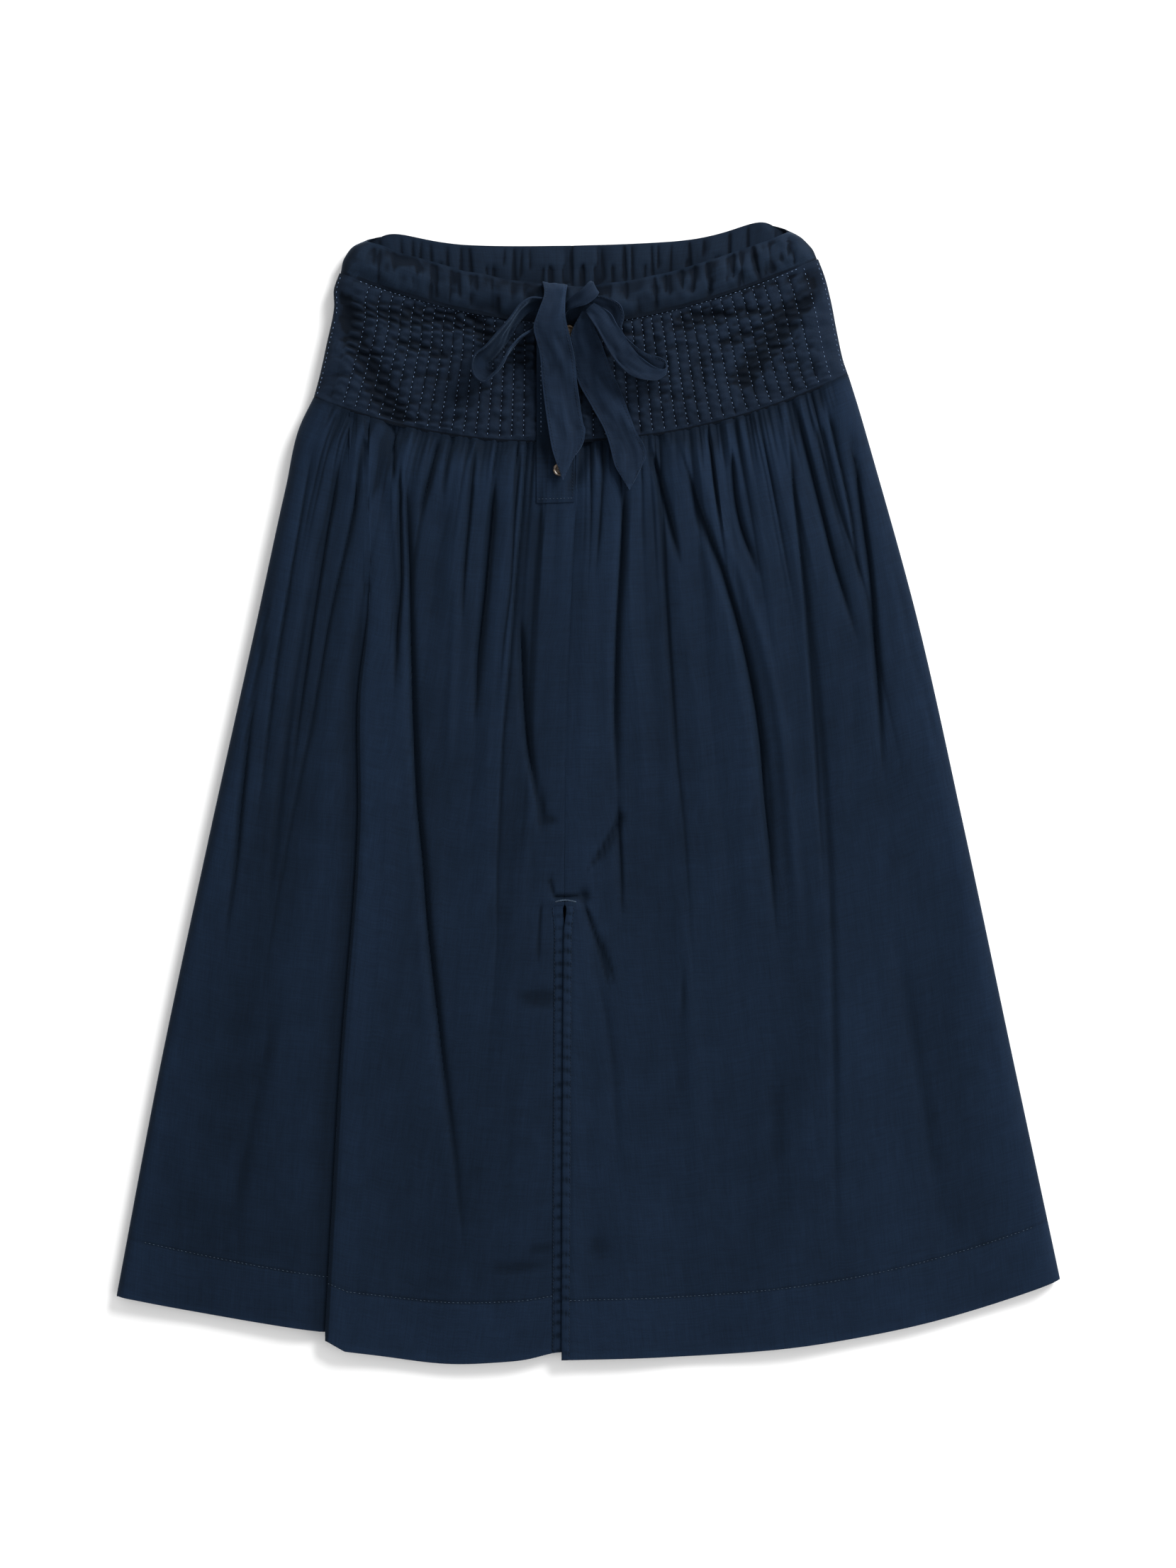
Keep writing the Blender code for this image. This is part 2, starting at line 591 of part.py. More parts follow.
def loop_rows(start, tip, opening, tilt, swing):
    """Sections of a bow's loop: out from the knot along its lower strand, round the tip and back along the upper.
    opening is the loop's width between its strands, and swing leans the loop's plane over."""
    start, tip = np.array(start, float), np.array(tip, float)
    along = tip - start
    bearing = math.atan2(along[1], along[0])
    across = np.array([-math.sin(bearing), math.cos(bearing), 0.0])
    lean = math.radians(swing)
    open_way = across * math.sin(lean) + np.array([0.0, 0.0, math.cos(lean)])
    rows = []
    for k in range(LOOP_SECTIONS + 1):
        turn = k / LOOP_SECTIONS
        out = math.sin(math.pi * turn) ** 0.75
        spread = -math.cos(math.pi * turn) * math.sin(math.pi * min(max(turn, 0.06), 0.94)) ** 0.8
        place_at = start + along * out + open_way * opening / 2 * spread
        width = TIE_WIDTH * (LOOP_PINCH + (1 - LOOP_PINCH) * out)
        rows.append((*place_at, width, math.degrees(bearing) + 90, tilt))
    return rows


# Sections of the tie's tails and of the strip that wraps the knot: x, y, z, width, turn and tilt.
TAIL_LEFT = (
    (-25.3, 399.0, 21.5, 19.0, 0.0, 0.0),
    (-25.6, 396.5, 27.0, 19.5, 0.0, 0.0),
    (-26.4, 384.0, 35.0, 20.0, 0.0, 0.0),
    (-28.0, 361.4, 40.5, 26.0, 0.0, 0.0),
    (-23.7, 338.8, 35.0, 25.5, 3.0, 0.0),
    (-18.2, 299.8, 26.5, 25.5, 6.0, 0.0),
    (-14.8, 279.0, 26.6, 25.5, 6.0, 0.0),
    (-18.7, 255.8, 30.0, 12.0, 6.0, 0.0),
    (-19.5, 242.5, 31.0, 1.2, 6.0, 0.0),
)
TAIL_RIGHT = (
    (-2.5, 366.0, 25.0, 18.0, 10.0, 0.0),
    (2.6, 341.0, 24.5, 23.0, 14.0, 0.0),
    (11.6, 310.8, 23.4, 23.5, 20.0, 0.0),
    (24.5, 278.3, 25.6, 24.0, 22.0, 0.0),
    (33.6, 255.8, 26.4, 24.0, 22.0, 0.0),
    (32.6, 245.6, 26.8, 13.0, 22.0, 0.0),
    (32.5, 235.4, 27.0, 1.2, 22.0, 0.0),
)
KNOT = (
    (-13.0, 369.0, 28.5, 10.0, -40.0, 0.0),
    (-9.5, 374.0, 33.5, 15.0, -40.0, 0.0),
    (-3.0, 381.5, 36.5, 17.0, -42.0, 0.0),
    (3.5, 390.0, 34.0, 15.0, -44.0, 0.0),
    (7.0, 395.5, 27.0, 11.0, -44.0, 0.0),
)


def make_button(name, x, y, z):
    """A round horn button with a raised rim and a dished face."""
    profile = ((0.0, 0.55), (0.45, 0.6), (0.68, 1.0), (0.88, 1.0), (1.0, 0.7), (1.0, 0.35), (0.85, 0.0), (0.0, 0.0))
    mesh = bmesh.new()
    points = [mesh.verts.new((r * BUTTON_RADIUS * MM, 0.0, h * BUTTON_THICKNESS * MM)) for r, h in profile]
    edges = [mesh.edges.new(pair) for pair in zip(points, points[1:])]
    bmesh.ops.spin(mesh, geom=points + edges, axis=(0, 0, 1), cent=(0, 0, 0), steps=20, angle=2 * math.pi)
    bmesh.ops.remove_doubles(mesh, verts=mesh.verts[:], dist=0.00002)
    bmesh.ops.recalc_face_normals(mesh, faces=mesh.faces[:])
    bmesh.ops.translate(mesh, verts=mesh.verts[:], vec=(x * MM, y * MM, z * MM))
    place(name, mesh, "horn")


def clear_scene():
    for thing in list(bpy.data.objects):
        bpy.data.objects.remove(thing)


def make_fronts():
    """Both halves of the yoke and the skirt front, and the band's front."""
    for side, ends in (("left", (1, 1, 2, 0)), ("right", (1, 1, 0, 2))):
        face = part_rows(skirt_front(side), SEAM_GAP, last=False)
        wall = np.array([SKIRT_WALL if along < 0.9 else HEM_WALL for along in SKIRT_ROWS])[:, None, None]
        wall = np.repeat(wall, face.shape[1], axis=1)
        if side == "left":
            wall[:, lap_split() - 2 : lap_split() + len(LAP_PROFILE) + 1] = LAP_WALL
        inner = set_back(face, wall, ends)
        if side == "left":
            straighten_above_lap(inner)
        cloth_wall(f"skirt_front_{side}", face, inner, "skirt_cloth")
        face = part_rows(yoke_front(side), SEAM_GAP)
        cloth_wall(f"yoke_front_{side}", face, set_back(face, YOKE_WALL, ends), "yoke_cloth")
    face = part_rows(band_front(), SEAM_GAP, first=False)
    cloth_wall("band_front", face, set_back(face, BAND_WALL, (1, 1, 2, 2)), "band_cloth")


def make_backs():
    """The back of the band, the yoke and the skirt, flat on the floor."""
    def ripple(k, along):
        return BAND_WALL + 0.5 + band_ripple(k, along)

    pieces = (
        ("band", FRONT_BAND, BAND_ROWS, BAND_COLUMNS, ripple, "band_cloth"),
        ("yoke", FRONT_YOKE, (0.0, 0.12, 0.5, 1.0), 24, lambda k, along: YOKE_WALL, "yoke_cloth"),
        ("skirt", FRONT_SKIRT, SKIRT_ROWS[::2] + (1.0,), 30, lambda k, along: SKIRT_WALL, "skirt_cloth"),
    )
    for name, table, alongs, columns, wall_of, material in pieces:
        outer, inner = back_face(name, table, alongs, columns, wall_of)
        first, last = name != "band", name != "skirt"
        cloth_wall(f"{name}_back", part_rows(outer, SEAM_GAP, first, last), part_rows(inner, SEAM_GAP, first, last), material)


def make_bow():
    """The tie's knot, its two loops and its two tails."""
    ribbon("tie_tail_left", TAIL_LEFT, TIE_WALL)
    ribbon("tie_tail_right", TAIL_RIGHT, TIE_WALL)
    ribbon("tie_loop_left", loop_rows((-38.0, 374.0, 28.5), (-82.0, 328.0, 34.0), 13.0, 38.0, -26.0), TIE_WALL)
    ribbon("tie_loop_right", loop_rows((13.0, 374.0, 31.0), (58.0, 329.0, 34.0), 13.0, 38.0, -26.0), TIE_WALL)
    ribbon("tie_knot", KNOT, KNOT_WALL)


clear_scene()
make_fronts()
make_backs()
make_placket()
make_bow()
make_button("button_low", -21.7, 250.8, 25.8)
make_button("button_top", -15.0, 358.5, 20.2)
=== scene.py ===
"""The looks of a navy gathered midi skirt: a quilted yoke, a drawstring band in a bow, and a front slit.

It is laid flat on its back with its waist to +Y. Tables are in millimetres, and each mesh in metres.
"""

import math

import bmesh
import bpy
import numpy as np
from mathutils import Matrix, Vector


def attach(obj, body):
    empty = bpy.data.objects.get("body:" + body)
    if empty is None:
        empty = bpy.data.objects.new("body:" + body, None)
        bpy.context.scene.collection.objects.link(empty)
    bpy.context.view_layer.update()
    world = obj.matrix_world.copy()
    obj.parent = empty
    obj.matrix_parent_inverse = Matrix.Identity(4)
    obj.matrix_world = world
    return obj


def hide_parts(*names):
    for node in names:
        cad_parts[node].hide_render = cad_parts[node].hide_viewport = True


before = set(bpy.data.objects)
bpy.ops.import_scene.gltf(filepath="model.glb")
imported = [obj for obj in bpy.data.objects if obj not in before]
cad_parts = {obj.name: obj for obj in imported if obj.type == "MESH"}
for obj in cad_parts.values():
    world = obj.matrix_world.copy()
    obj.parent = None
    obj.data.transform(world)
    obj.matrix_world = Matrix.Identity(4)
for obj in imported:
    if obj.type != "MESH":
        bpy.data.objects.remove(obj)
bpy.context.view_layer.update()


# ----------------------------------------------------------------------------------------------------
# The skirt's two fronts. Each is one wide panel of navy cotton twill, gathered into the seam under
# the yoke and joined to the other at the centre front, where the seam ends in a slit. The left one
# laps over itself in a deep fold that runs down to a broad turned-up hem.

# Section lines across the panel: the share of the way down, the left end, the right end, how far
# the middle dips and with what power, the height of the cloth at mid width, and the radius of the
# soft fold at the side.
LINE_COLUMNS = ("along", "lx", "ly", "rx", "ry", "dip", "power", "lift", "roll")
SKIRT_LINES = (
    (0.00, -213.6, 308.8, 203.0, 327.0, 43.4, 2.20, 15.5, 8.5),
    (0.03, -223.6, 288.0, 209.4, 306.3, 43.8, 2.20, 20.5, 9.5),
    (0.10, -235.1, 239.1, 223.7, 257.0, 44.6, 2.25, 20.0, 9.5),
    (0.25, -258.0, 134.1, 253.2, 151.0, 46.5, 2.30, 16.5, 8.8),
    (0.50, -296.8, -41.0, 293.2, -25.3, 49.7, 2.40, 13.5, 8.0),
    (0.75, -334.1, -216.0, 330.7, -201.6, 52.8, 2.50, 11.5, 7.0),
    (1.00, -367.4, -391.0, 368.5, -377.9, 56.0, 2.60, 10.8, 6.3),
)

# The centre front, where the two fronts meet: y and x from the waist to the hem.
CENTRE_FRONT = (
    (450.0, -9.9),
    (227.0, -9.9),
    (160.0, -13.2),
    (87.0, -16.0),
    (-80.0, -17.8),
    (-445.0, -19.8),
)
SLIT_TOP = -83.6
TURN_REACH = 1.5
SIDE_SLOPE = 75.0
SIDE_COLUMNS = 7

# Creases: three points from the upper to the lower end, the height, and the half width of the
# slope. They are pressed in at a part of that height and width, because the crisp fold lines below
# lie along them.
CREASE_PART = (0.6, 0.5)
SKIRT_CREASES = (
    (-226.0, 271.0, -255.0, 100.0, -284.0, -144.0, -2.6, 6.0),
    (-196.0, 268.0, -229.0, 80.0, -252.0, -121.0, -3.4, 7.0),
    (-160.0, 270.0, -150.0, 150.0, -146.0, 65.0, -3.2, 6.5),
    (-142.5, 251.0, -129.0, -60.0, -92.0, -382.0, -3.6, 8.0),
    (-117.0, 271.0, -126.0, 235.0, -131.0, 205.0, -3.0, 6.0),
    (-71.5, 240.0, -80.0, 150.0, -90.0, 40.0, -3.2, 7.0),
    (-101.0, 170.0, -105.0, 90.0, -109.0, 0.0, 2.2, 8.0),
    (-52.8, 240.0, -62.0, 140.0, -69.0, 50.0, 2.6, 7.0),
    (-52.8, 136.0, -48.0, 50.0, -34.0, -30.0, -3.6, 7.0),
    (-2.0, 292.0, -5.0, 258.0, -15.0, 228.0, -9.0, 13.0),
    (29.7, 234.0, 21.5, 100.0, 24.0, -18.0, -3.0, 7.5),
    (26.0, -10.0, 20.0, -36.0, -4.0, -66.0, -1.2, 6.0),
    (49.5, 264.0, 63.0, 215.0, 72.0, 170.0, -3.4, 6.5),
    (68.8, 262.0, 120.0, 120.0, 150.0, -140.0, -4.6, 8.0),
    (84.0, 262.0, 138.0, 110.0, 168.0, -150.0, 3.0, 9.0),
    (110.6, 261.0, 119.0, 210.0, 134.0, 165.0, -3.8, 6.5),
    (152.4, 290.0, 180.0, 60.0, 196.0, -410.0, -2.4, 7.0),
    (163.0, 294.0, 189.0, 190.0, 213.0, 110.0, -3.6, 6.5),
    (203.0, 285.0, 219.0, 170.0, 231.0, 0.0, -3.0, 6.5),
    (222.0, 270.0, 262.0, 90.0, 306.0, -85.0, -2.4, 7.0),
    (-2.0, -95.0, 17.0, -190.0, 25.0, -310.0, -1.6, 8.0),
    (-46.0, 30.0, -58.0, -120.0, -66.0, -260.0, 1.8, 14.0),
    (70.0, -60.0, 82.0, -200.0, 92.0, -400.0, 2.0, 18.0),
    (-240.0, -150.0, -262.0, -260.0, -284.0, -380.0, -1.8, 14.0),
    (236.0, -90.0, 258.0, -220.0, 282.0, -370.0, -1.8, 14.0),
)

# Crisp fold lines that show beside the creases: three points, the depth, and the way the steep side
# faces.
FOLD_PART = 1.7
FOLD_WIDTH = 2.8
FOLD_LINES = (
    (-226.0, 286.0, -255.0, 100.0, -284.0, -144.0, 2.4, 1),
    (-212.0, 280.0, -238.0, 120.0, -262.0, -60.0, 1.6, -1),
    (-192.0, 263.0, -214.0, 130.0, -232.0, -10.0, 2.2, 1),
    (-160.0, 276.0, -166.0, 236.0, -172.0, 215.0, 2.6, -1),
    (-145.0, 258.0, -146.0, 150.0, -150.0, 65.0, 2.6, 1),
    (-142.0, 262.0, -129.0, -60.0, -92.0, -382.0, 2.6, -1),
    (-151.0, 288.0, -151.0, 262.0, -151.0, 237.0, 2.4, 1),
    (-117.0, 274.0, -124.0, 240.0, -131.0, 215.0, 2.8, -1),
    (-88.0, 268.0, -94.0, 190.0, -98.0, 120.0, 1.8, 1),
    (-71.5, 246.0, -80.0, 150.0, -90.0, 40.0, 2.6, 1),
    (-52.8, 136.0, -48.0, 50.0, -34.0, -30.0, 2.4, -1),
    (-52.8, 270.0, -63.0, 130.0, -69.0, 62.0, 1.6, 1),
    (12.0, 271.0, 9.0, 210.0, 6.0, 160.0, 1.4, 1),
    (29.7, 250.0, 21.5, 100.0, 24.0, -28.0, 2.2, -1),
    (49.5, 268.0, 64.0, 215.0, 74.0, 172.0, 2.3, 1),
    (68.8, 276.0, 120.0, 120.0, 150.0, -140.0, 2.5, 1),
    (92.0, 282.0, 100.0, 230.0, 106.0, 190.0, 2.2, -1),
    (110.6, 268.0, 119.0, 210.0, 136.0, 165.0, 2.3, 1),
    (152.4, 300.0, 172.0, 120.0, 186.0, -120.0, 1.8, -1),
    (160.0, 306.0, 189.0, 190.0, 213.0, 110.0, 2.1, 1),
    (186.0, 300.0, 205.0, 210.0, 214.0, 150.0, 2.0, -1),
    (203.0, 294.0, 219.0, 180.0, 231.0, 0.0, 2.4, 1),
    (215.0, 288.0, 250.0, 130.0, 306.0, -85.0, 2.2, 1),
    (-3.0, -84.0, 8.0, -114.0, 19.0, -158.0, 1.7, 1),
    (10.0, -114.0, 18.0, -137.0, 22.0, -150.0, 1.2, 1),
    (26.0, -16.0, 11.0, -43.0, -4.0, -64.0, 2.4, -1),
    (23.0, -5.0, 25.0, -50.0, 27.0, -104.0, 1.6, 1),
    (-36.0, -84.0, -37.0, -110.0, -38.0, -138.0, 0.8, 1),
    (-30.0, -66.0, -28.0, -74.0, -26.0, -84.0, 1.0, 1),
)

# Small soft hollows pressed into the cloth: the middle, the half width, the half height and the
# depth.
SKIRT_HOLLOWS = (
    (-36.0, -13.0, 3.5, 12.0, 2.2),
    (-30.0, -21.0, 6.0, 3.5, 1.8),
    (-38.0, -159.0, 13.0, 5.0, 2.0),
    (-52.0, -366.0, 16.0, 3.5, 1.7),
    (-38.0, -357.0, 12.0, 3.5, 1.4),
    (8.0, -352.0, 8.0, 10.0, 1.6),
    (147.0, -250.0, 9.0, 42.0, 1.3),
    (74.0, -156.0, 2.5, 16.0, 1.3),
)

# The left front's lap: its edge from top to hem, the share across at which the cloth opens for it
# and the step that it takes up, how far down it starts and is full, how far it laps over at the
# hem, the swell of the cloth on its right and the fall on its left with their widths, and its
# profile from left to right. Each place in the profile is a part of the overlap, a shift across,
# and a height.
LAP_EDGE = (
    (224.0, -172.0),
    (148.0, -170.0),
    (75.0, -177.0),
    (-16.0, -177.0),
    (-210.0, -191.0),
    (-424.0, -203.0),
)
LAP_COLUMN = 0.31
LAP_STEP = 0.011
LAP_REACH = (0.10, 0.30)
LAP_OVERLAP = 9.0
LAP_SWELL = (1.8, 46.0)
LAP_FALL = (-3.0, 12.0)
LAP_PROFILE = (
    (0.00, -5.0, -2.7),
    (0.00, -2.5, -3.0),
    (0.50, 0.0, -3.0),
    (0.92, 0.6, -2.9),
    (1.00, 1.0, -2.5),
    (0.60, 0.4, -2.2),
    (0.05, -0.4, -2.2),
    (0.00, -1.4, -1.8),
    (0.00, -1.2, -0.9),
    (0.00, 0.2, 0.2),
    (0.00, 2.6, 1.3),
)
LAP_FOLD_COLUMNS = 34
LAP_CLEAR_COLUMNS = 24
LAP_HEM_RISE = 12.3

# Gathers from the seam and the long pleats below them: how many, how high, and how far down they
# reach.
GATHERS = {"left": 16, "right": 18}
GATHER_HEIGHT = 1.6
GATHER_REACH = (0.03, 0.34)
PLEATS = {"left": 6, "right": 7}
PLEAT_HEIGHT = 1.7
PLEAT_REACH = (0.45, 1.5)

# Crisp folds from the seam: how many, how far down they reach, how deep and how wide they are.
FINE_FOLDS = (15, (0.04, 0.85), (1.2, 3.4), (1.3, 3.2))
SHORT_FOLDS = (24, (0.02, 0.11), (1.0, 2.6), (1.6, 3.0))

# The slit: how far it gapes below its top and over what length, how far the fronts lap over each
# other below its top and above it, and the width of each turned edge.
SLIT_OPEN = (2.6, 20.0)
SLIT_OVERLAP = 1.2
SEAM_OVERLAP = 0.8
SLIT_STRIPS = {"left": 8.0, "right": 6.0}

# The hem: its depth, the length of the front, and the shares of the way down of the hem's top and
# its edge.
HEM_DEPTH = 50.0
SKIRT_LENGTH = 770.0
HEM_TOP = 0.935
HEM_EDGE = 0.994

# The placket's sides, and the share of the way down at which it ends: the folds lie flatter under it.
PLACKET_LEFT = -39.6
PLACKET_RIGHT = -10.4
PLACKET_BOTTOM = 0.068

# The grid of each front, and the wall of its cloth.
SKIRT_ROWS = 150
SKIRT_COLUMNS = {"left": 262, "right": 300}
SKIRT_WALL = 1.0

# How strongly each front's folds fade and take painted shade, and how much paler or darker each front is
# painted as a whole, with painted light making the right one paler and painted shade the left one darker.
FRONT_RELIEF_AND_LIGHT = {"left": (0.8, -0.1), "right": (0.6, 0.15)}


def uneven(number, kind):
    """A fixed number from 0 to 1 that differs from one gather to the next."""
    value = np.sin(np.asarray(number, float) * 12.9898 + kind * 78.233) * 43758.5453
    return value - np.floor(value)


def ease(value):
    """A smooth step from 0 to 1."""
    value = np.clip(value, 0.0, 1.0)
    return value * value * (3.0 - 2.0 * value)


def through(xs, ys, x):
    """A smooth curve through the points, read at x. xs rise."""
    xs, ys = np.asarray(xs, float), np.asarray(ys, float)
    slopes = np.gradient(ys, xs)
    x = np.clip(x, xs[0], xs[-1])
    i = np.clip(np.searchsorted(xs, x, side="right") - 1, 0, len(xs) - 2)
    step = xs[i + 1] - xs[i]
    t = (x - xs[i]) / step
    return (
        (1 + 2 * t) * (1 - t) ** 2 * ys[i]
        + t * (1 - t) ** 2 * step * slopes[i]
        + t * t * (3 - 2 * t) * ys[i + 1]
        + t * t * (t - 1) * step * slopes[i + 1]
    )


def cloth_line(table, along):
    """The section line at a share of the way down, by the names of its columns."""
    stations = [row[0] for row in table]
    return {c: through(stations, [row[k] for row in table], along) for k, c in enumerate(LINE_COLUMNS)}


def x_on(points, y):
    """The x of a line given from top to bottom, at the height y."""
    rising = points[::-1]
    return through([p[0] for p in rising], [p[1] for p in rising], y)


def line_y(line, x, dip=None):
    """The y of a section line at x. A back's lines have a dip of their own, and hang in a plain curve."""
    middle = (line["lx"] + line["rx"]) / 2
    half = (line["rx"] - line["lx"]) / 2
    share = np.clip((x - middle) / half, -1.0, 1.0)
    chord = line["ly"] + (line["ry"] - line["ly"]) * (share + 1) / 2
    if dip is None:
        return chord - line["dip"] * (1 - abs(share) ** line["power"])
    return chord - dip * (1 - abs(share) ** 2.0)


def side_room(line, x):
    """How far x lies from the nearer side."""
    return np.minimum(x - line["lx"], line["rx"] - x)


def side_turn(line, x):
    """How far round the side's soft fold the cloth has turned: 0 on the flat and 1 at the very side."""
    return np.clip(1 - side_room(line, x) / (line["roll"] * TURN_REACH), 0.0, 1.0)


def front_height(line, x):
    """The height of a front's outer face, before its folds."""
    rolled = line["roll"] * (1 + np.sqrt(1 - side_turn(line, x) ** 2))
    return rolled + (line["lift"] - 2 * line["roll"]) * ease(side_room(line, x) / SIDE_SLOPE)


def side_columns(line, towards, count):
    """Columns round a side fold, from the edge inwards."""
    angles = math.pi / 2 * (1 - np.arange(count) / count)
    edge = line["lx"] if towards > 0 else line["rx"]
    return edge + towards * line["roll"] * TURN_REACH * (1 - np.sin(angles))


def rumple(x, y, wide, tall, kind):
    """Soft uneven waves from -1 to 1, about wide across and tall along."""
    u, v = np.asarray(x) / wide, np.asarray(y) / tall
    i, j = np.floor(u), np.floor(v)
    s, t = ease(u - i), ease(v - j)

    def corner(a, b):
        return uneven((i + a) * 3.7 + (j + b) * 91.3, kind) * 2 - 1

    low = corner(0, 0) * (1 - s) + corner(1, 0) * s
    high = corner(0, 1) * (1 - s) + corner(1, 1) * s
    return low * (1 - t) + high * t


def crease_height(x, y):
    """What the soft creases add to the skirt's height."""
    total = np.zeros(np.broadcast(x, y).shape)
    for x1, y1, x2, y2, x3, y3, height, width in SKIRT_CREASES:
        centre = through([y3, y2, y1], [x3, x2, x1], y)
        fade = ease((y - y3) / (0.35 * (y1 - y3))) * ease((y1 + 6 - y) / (0.22 * (y1 - y3)))
        total += CREASE_PART[0] * height * fade * np.exp(-(((x - centre) / (CREASE_PART[1] * width)) ** 2))
    return total


def crisp(away, wide):
    """The profile of a pressed fold: a sharp valley, steep on one side and drawn out on the other."""
    away = np.sign(away) * np.maximum(np.hypot(away, 0.5) - 0.5, 0.0)
    return np.where(away > 0, np.exp(-away / (0.12 * wide + 0.6)), np.exp(away / wide))


def fold_height(x, y):
    """What the crisp fold lines take from the skirt's height."""
    total = np.zeros(np.broadcast(x, y).shape)
    for k, (x1, y1, x2, y2, x3, y3, depth, way) in enumerate(FOLD_LINES):
        sway = 1.2 * rumple(k * 7.7, y, 5.0, 55.0, k + 3)
        centre = through([y3, y2, y1], [x3, x2, x1], y) + sway
        long = y1 - y3
        fade = ease((y - y3) / (0.45 * long)) * ease((y1 + 4 - y) / (0.12 * long + 6))
        total -= FOLD_PART * depth * fade * crisp((x - centre) * way, FOLD_WIDTH)
    return total


def hollow_height(x, y):
    """What the small hollows take from the skirt's height."""
    total = np.zeros(np.broadcast(x, y).shape)
    for middle_x, middle_y, half_wide, half_tall, depth in SKIRT_HOLLOWS:
        total -= depth * np.exp(-(((x - middle_x) / half_wide) ** 2) - ((y - middle_y) / half_tall) ** 2)
    return total


def pleated(share, alongs, count, kind, height, reach):
    """Uneven pleats across a panel, half rounded and half creased, that die out at different heights."""
    k = np.arange(1, 2 * count)
    at = np.array([0.0, *((k + 0.85 * (uneven(k, kind) - 0.5)) / (2 * count)), 1.0])
    sizes = np.array([0.0, *(np.where(k % 2 == 1, 1.0, -1.0) * (0.35 + 1.1 * uneven(k, kind + 1))), 0.0])
    ends = reach[0] + (reach[1] - reach[0]) * uneven(np.arange(len(at)), kind + 2) ** 2
    out = np.zeros(share.shape)
    for r, along in enumerate(alongs):
        sway = 0.20 / count * rumple(7.3 * np.arange(len(at)), along * 6.0, 1.0, 1.0, kind + 3)
        places = np.maximum.accumulate(at + sway * np.minimum(1.0, np.minimum(at, 1 - at) * count))
        out[r] = np.interp(share[r], places, height * sizes * (1 - ease(along / ends)))
    return 0.8 * out + 0.2 * blurred(out, (1, 2))


def creased(place, along, width, kind, count, reach, depths, wides):
    """Crisp folds that start at or near the seam, each with its own reach and depth."""
    total = np.zeros(place.shape)
    for k in range(count):
        at = (k + 1.3 * uneven(k, kind + 11)) / count
        at = at + 0.010 * rumple(k * 1.7, along * 9, 1.0, 1.0, kind) * ease(along / 0.1)
        long = reach[0] + (reach[1] - reach[0]) * uneven(k, kind + 13) ** 2.4
        start = 0.3 * max(0.0, float(uneven(k, kind + 17)) - 0.75) * (reach[1] > 0.5)
        fade = ease((along - start) / 0.012 + 0.35) * (1 - ease((along - start) / long)) ** 0.8
        way = 1.0 if uneven(k, kind + 19) > 0.5 else -1.0
        depth = depths[0] + (depths[1] - depths[0]) * uneven(k, kind + 23) ** 1.5
        wide = (wides[0] + (wides[1] - wides[0]) * uneven(k, kind + 29)) * (1 + 0.7 * along)
        away = (place - at) * width * 0.5 * way
        total -= depth * fade * crisp(away, wide)
        if uneven(k, kind + 31) > 0.6:
            total -= 0.7 * depth * fade * crisp(-away - 3.5 - 3.0 * uneven(k, kind + 37), 0.6 * wide)
    return total


def lap_warp(share, line, centre):
    """Shifts the left panel's columns sideways so that one of them follows the lap."""
    chord_y = (line["ly"] + line["ry"]) / 2 - line["dip"] * 0.7
    inner = line["lx"] + line["roll"] * TURN_REACH
    target = (x_on(LAP_EDGE, chord_y) - inner) / (centre - inner)
    return np.where(
        share <= LAP_COLUMN,
        share * target / LAP_COLUMN,
        target + (share - LAP_COLUMN) * (1 - target) / (1 - LAP_COLUMN),
    )


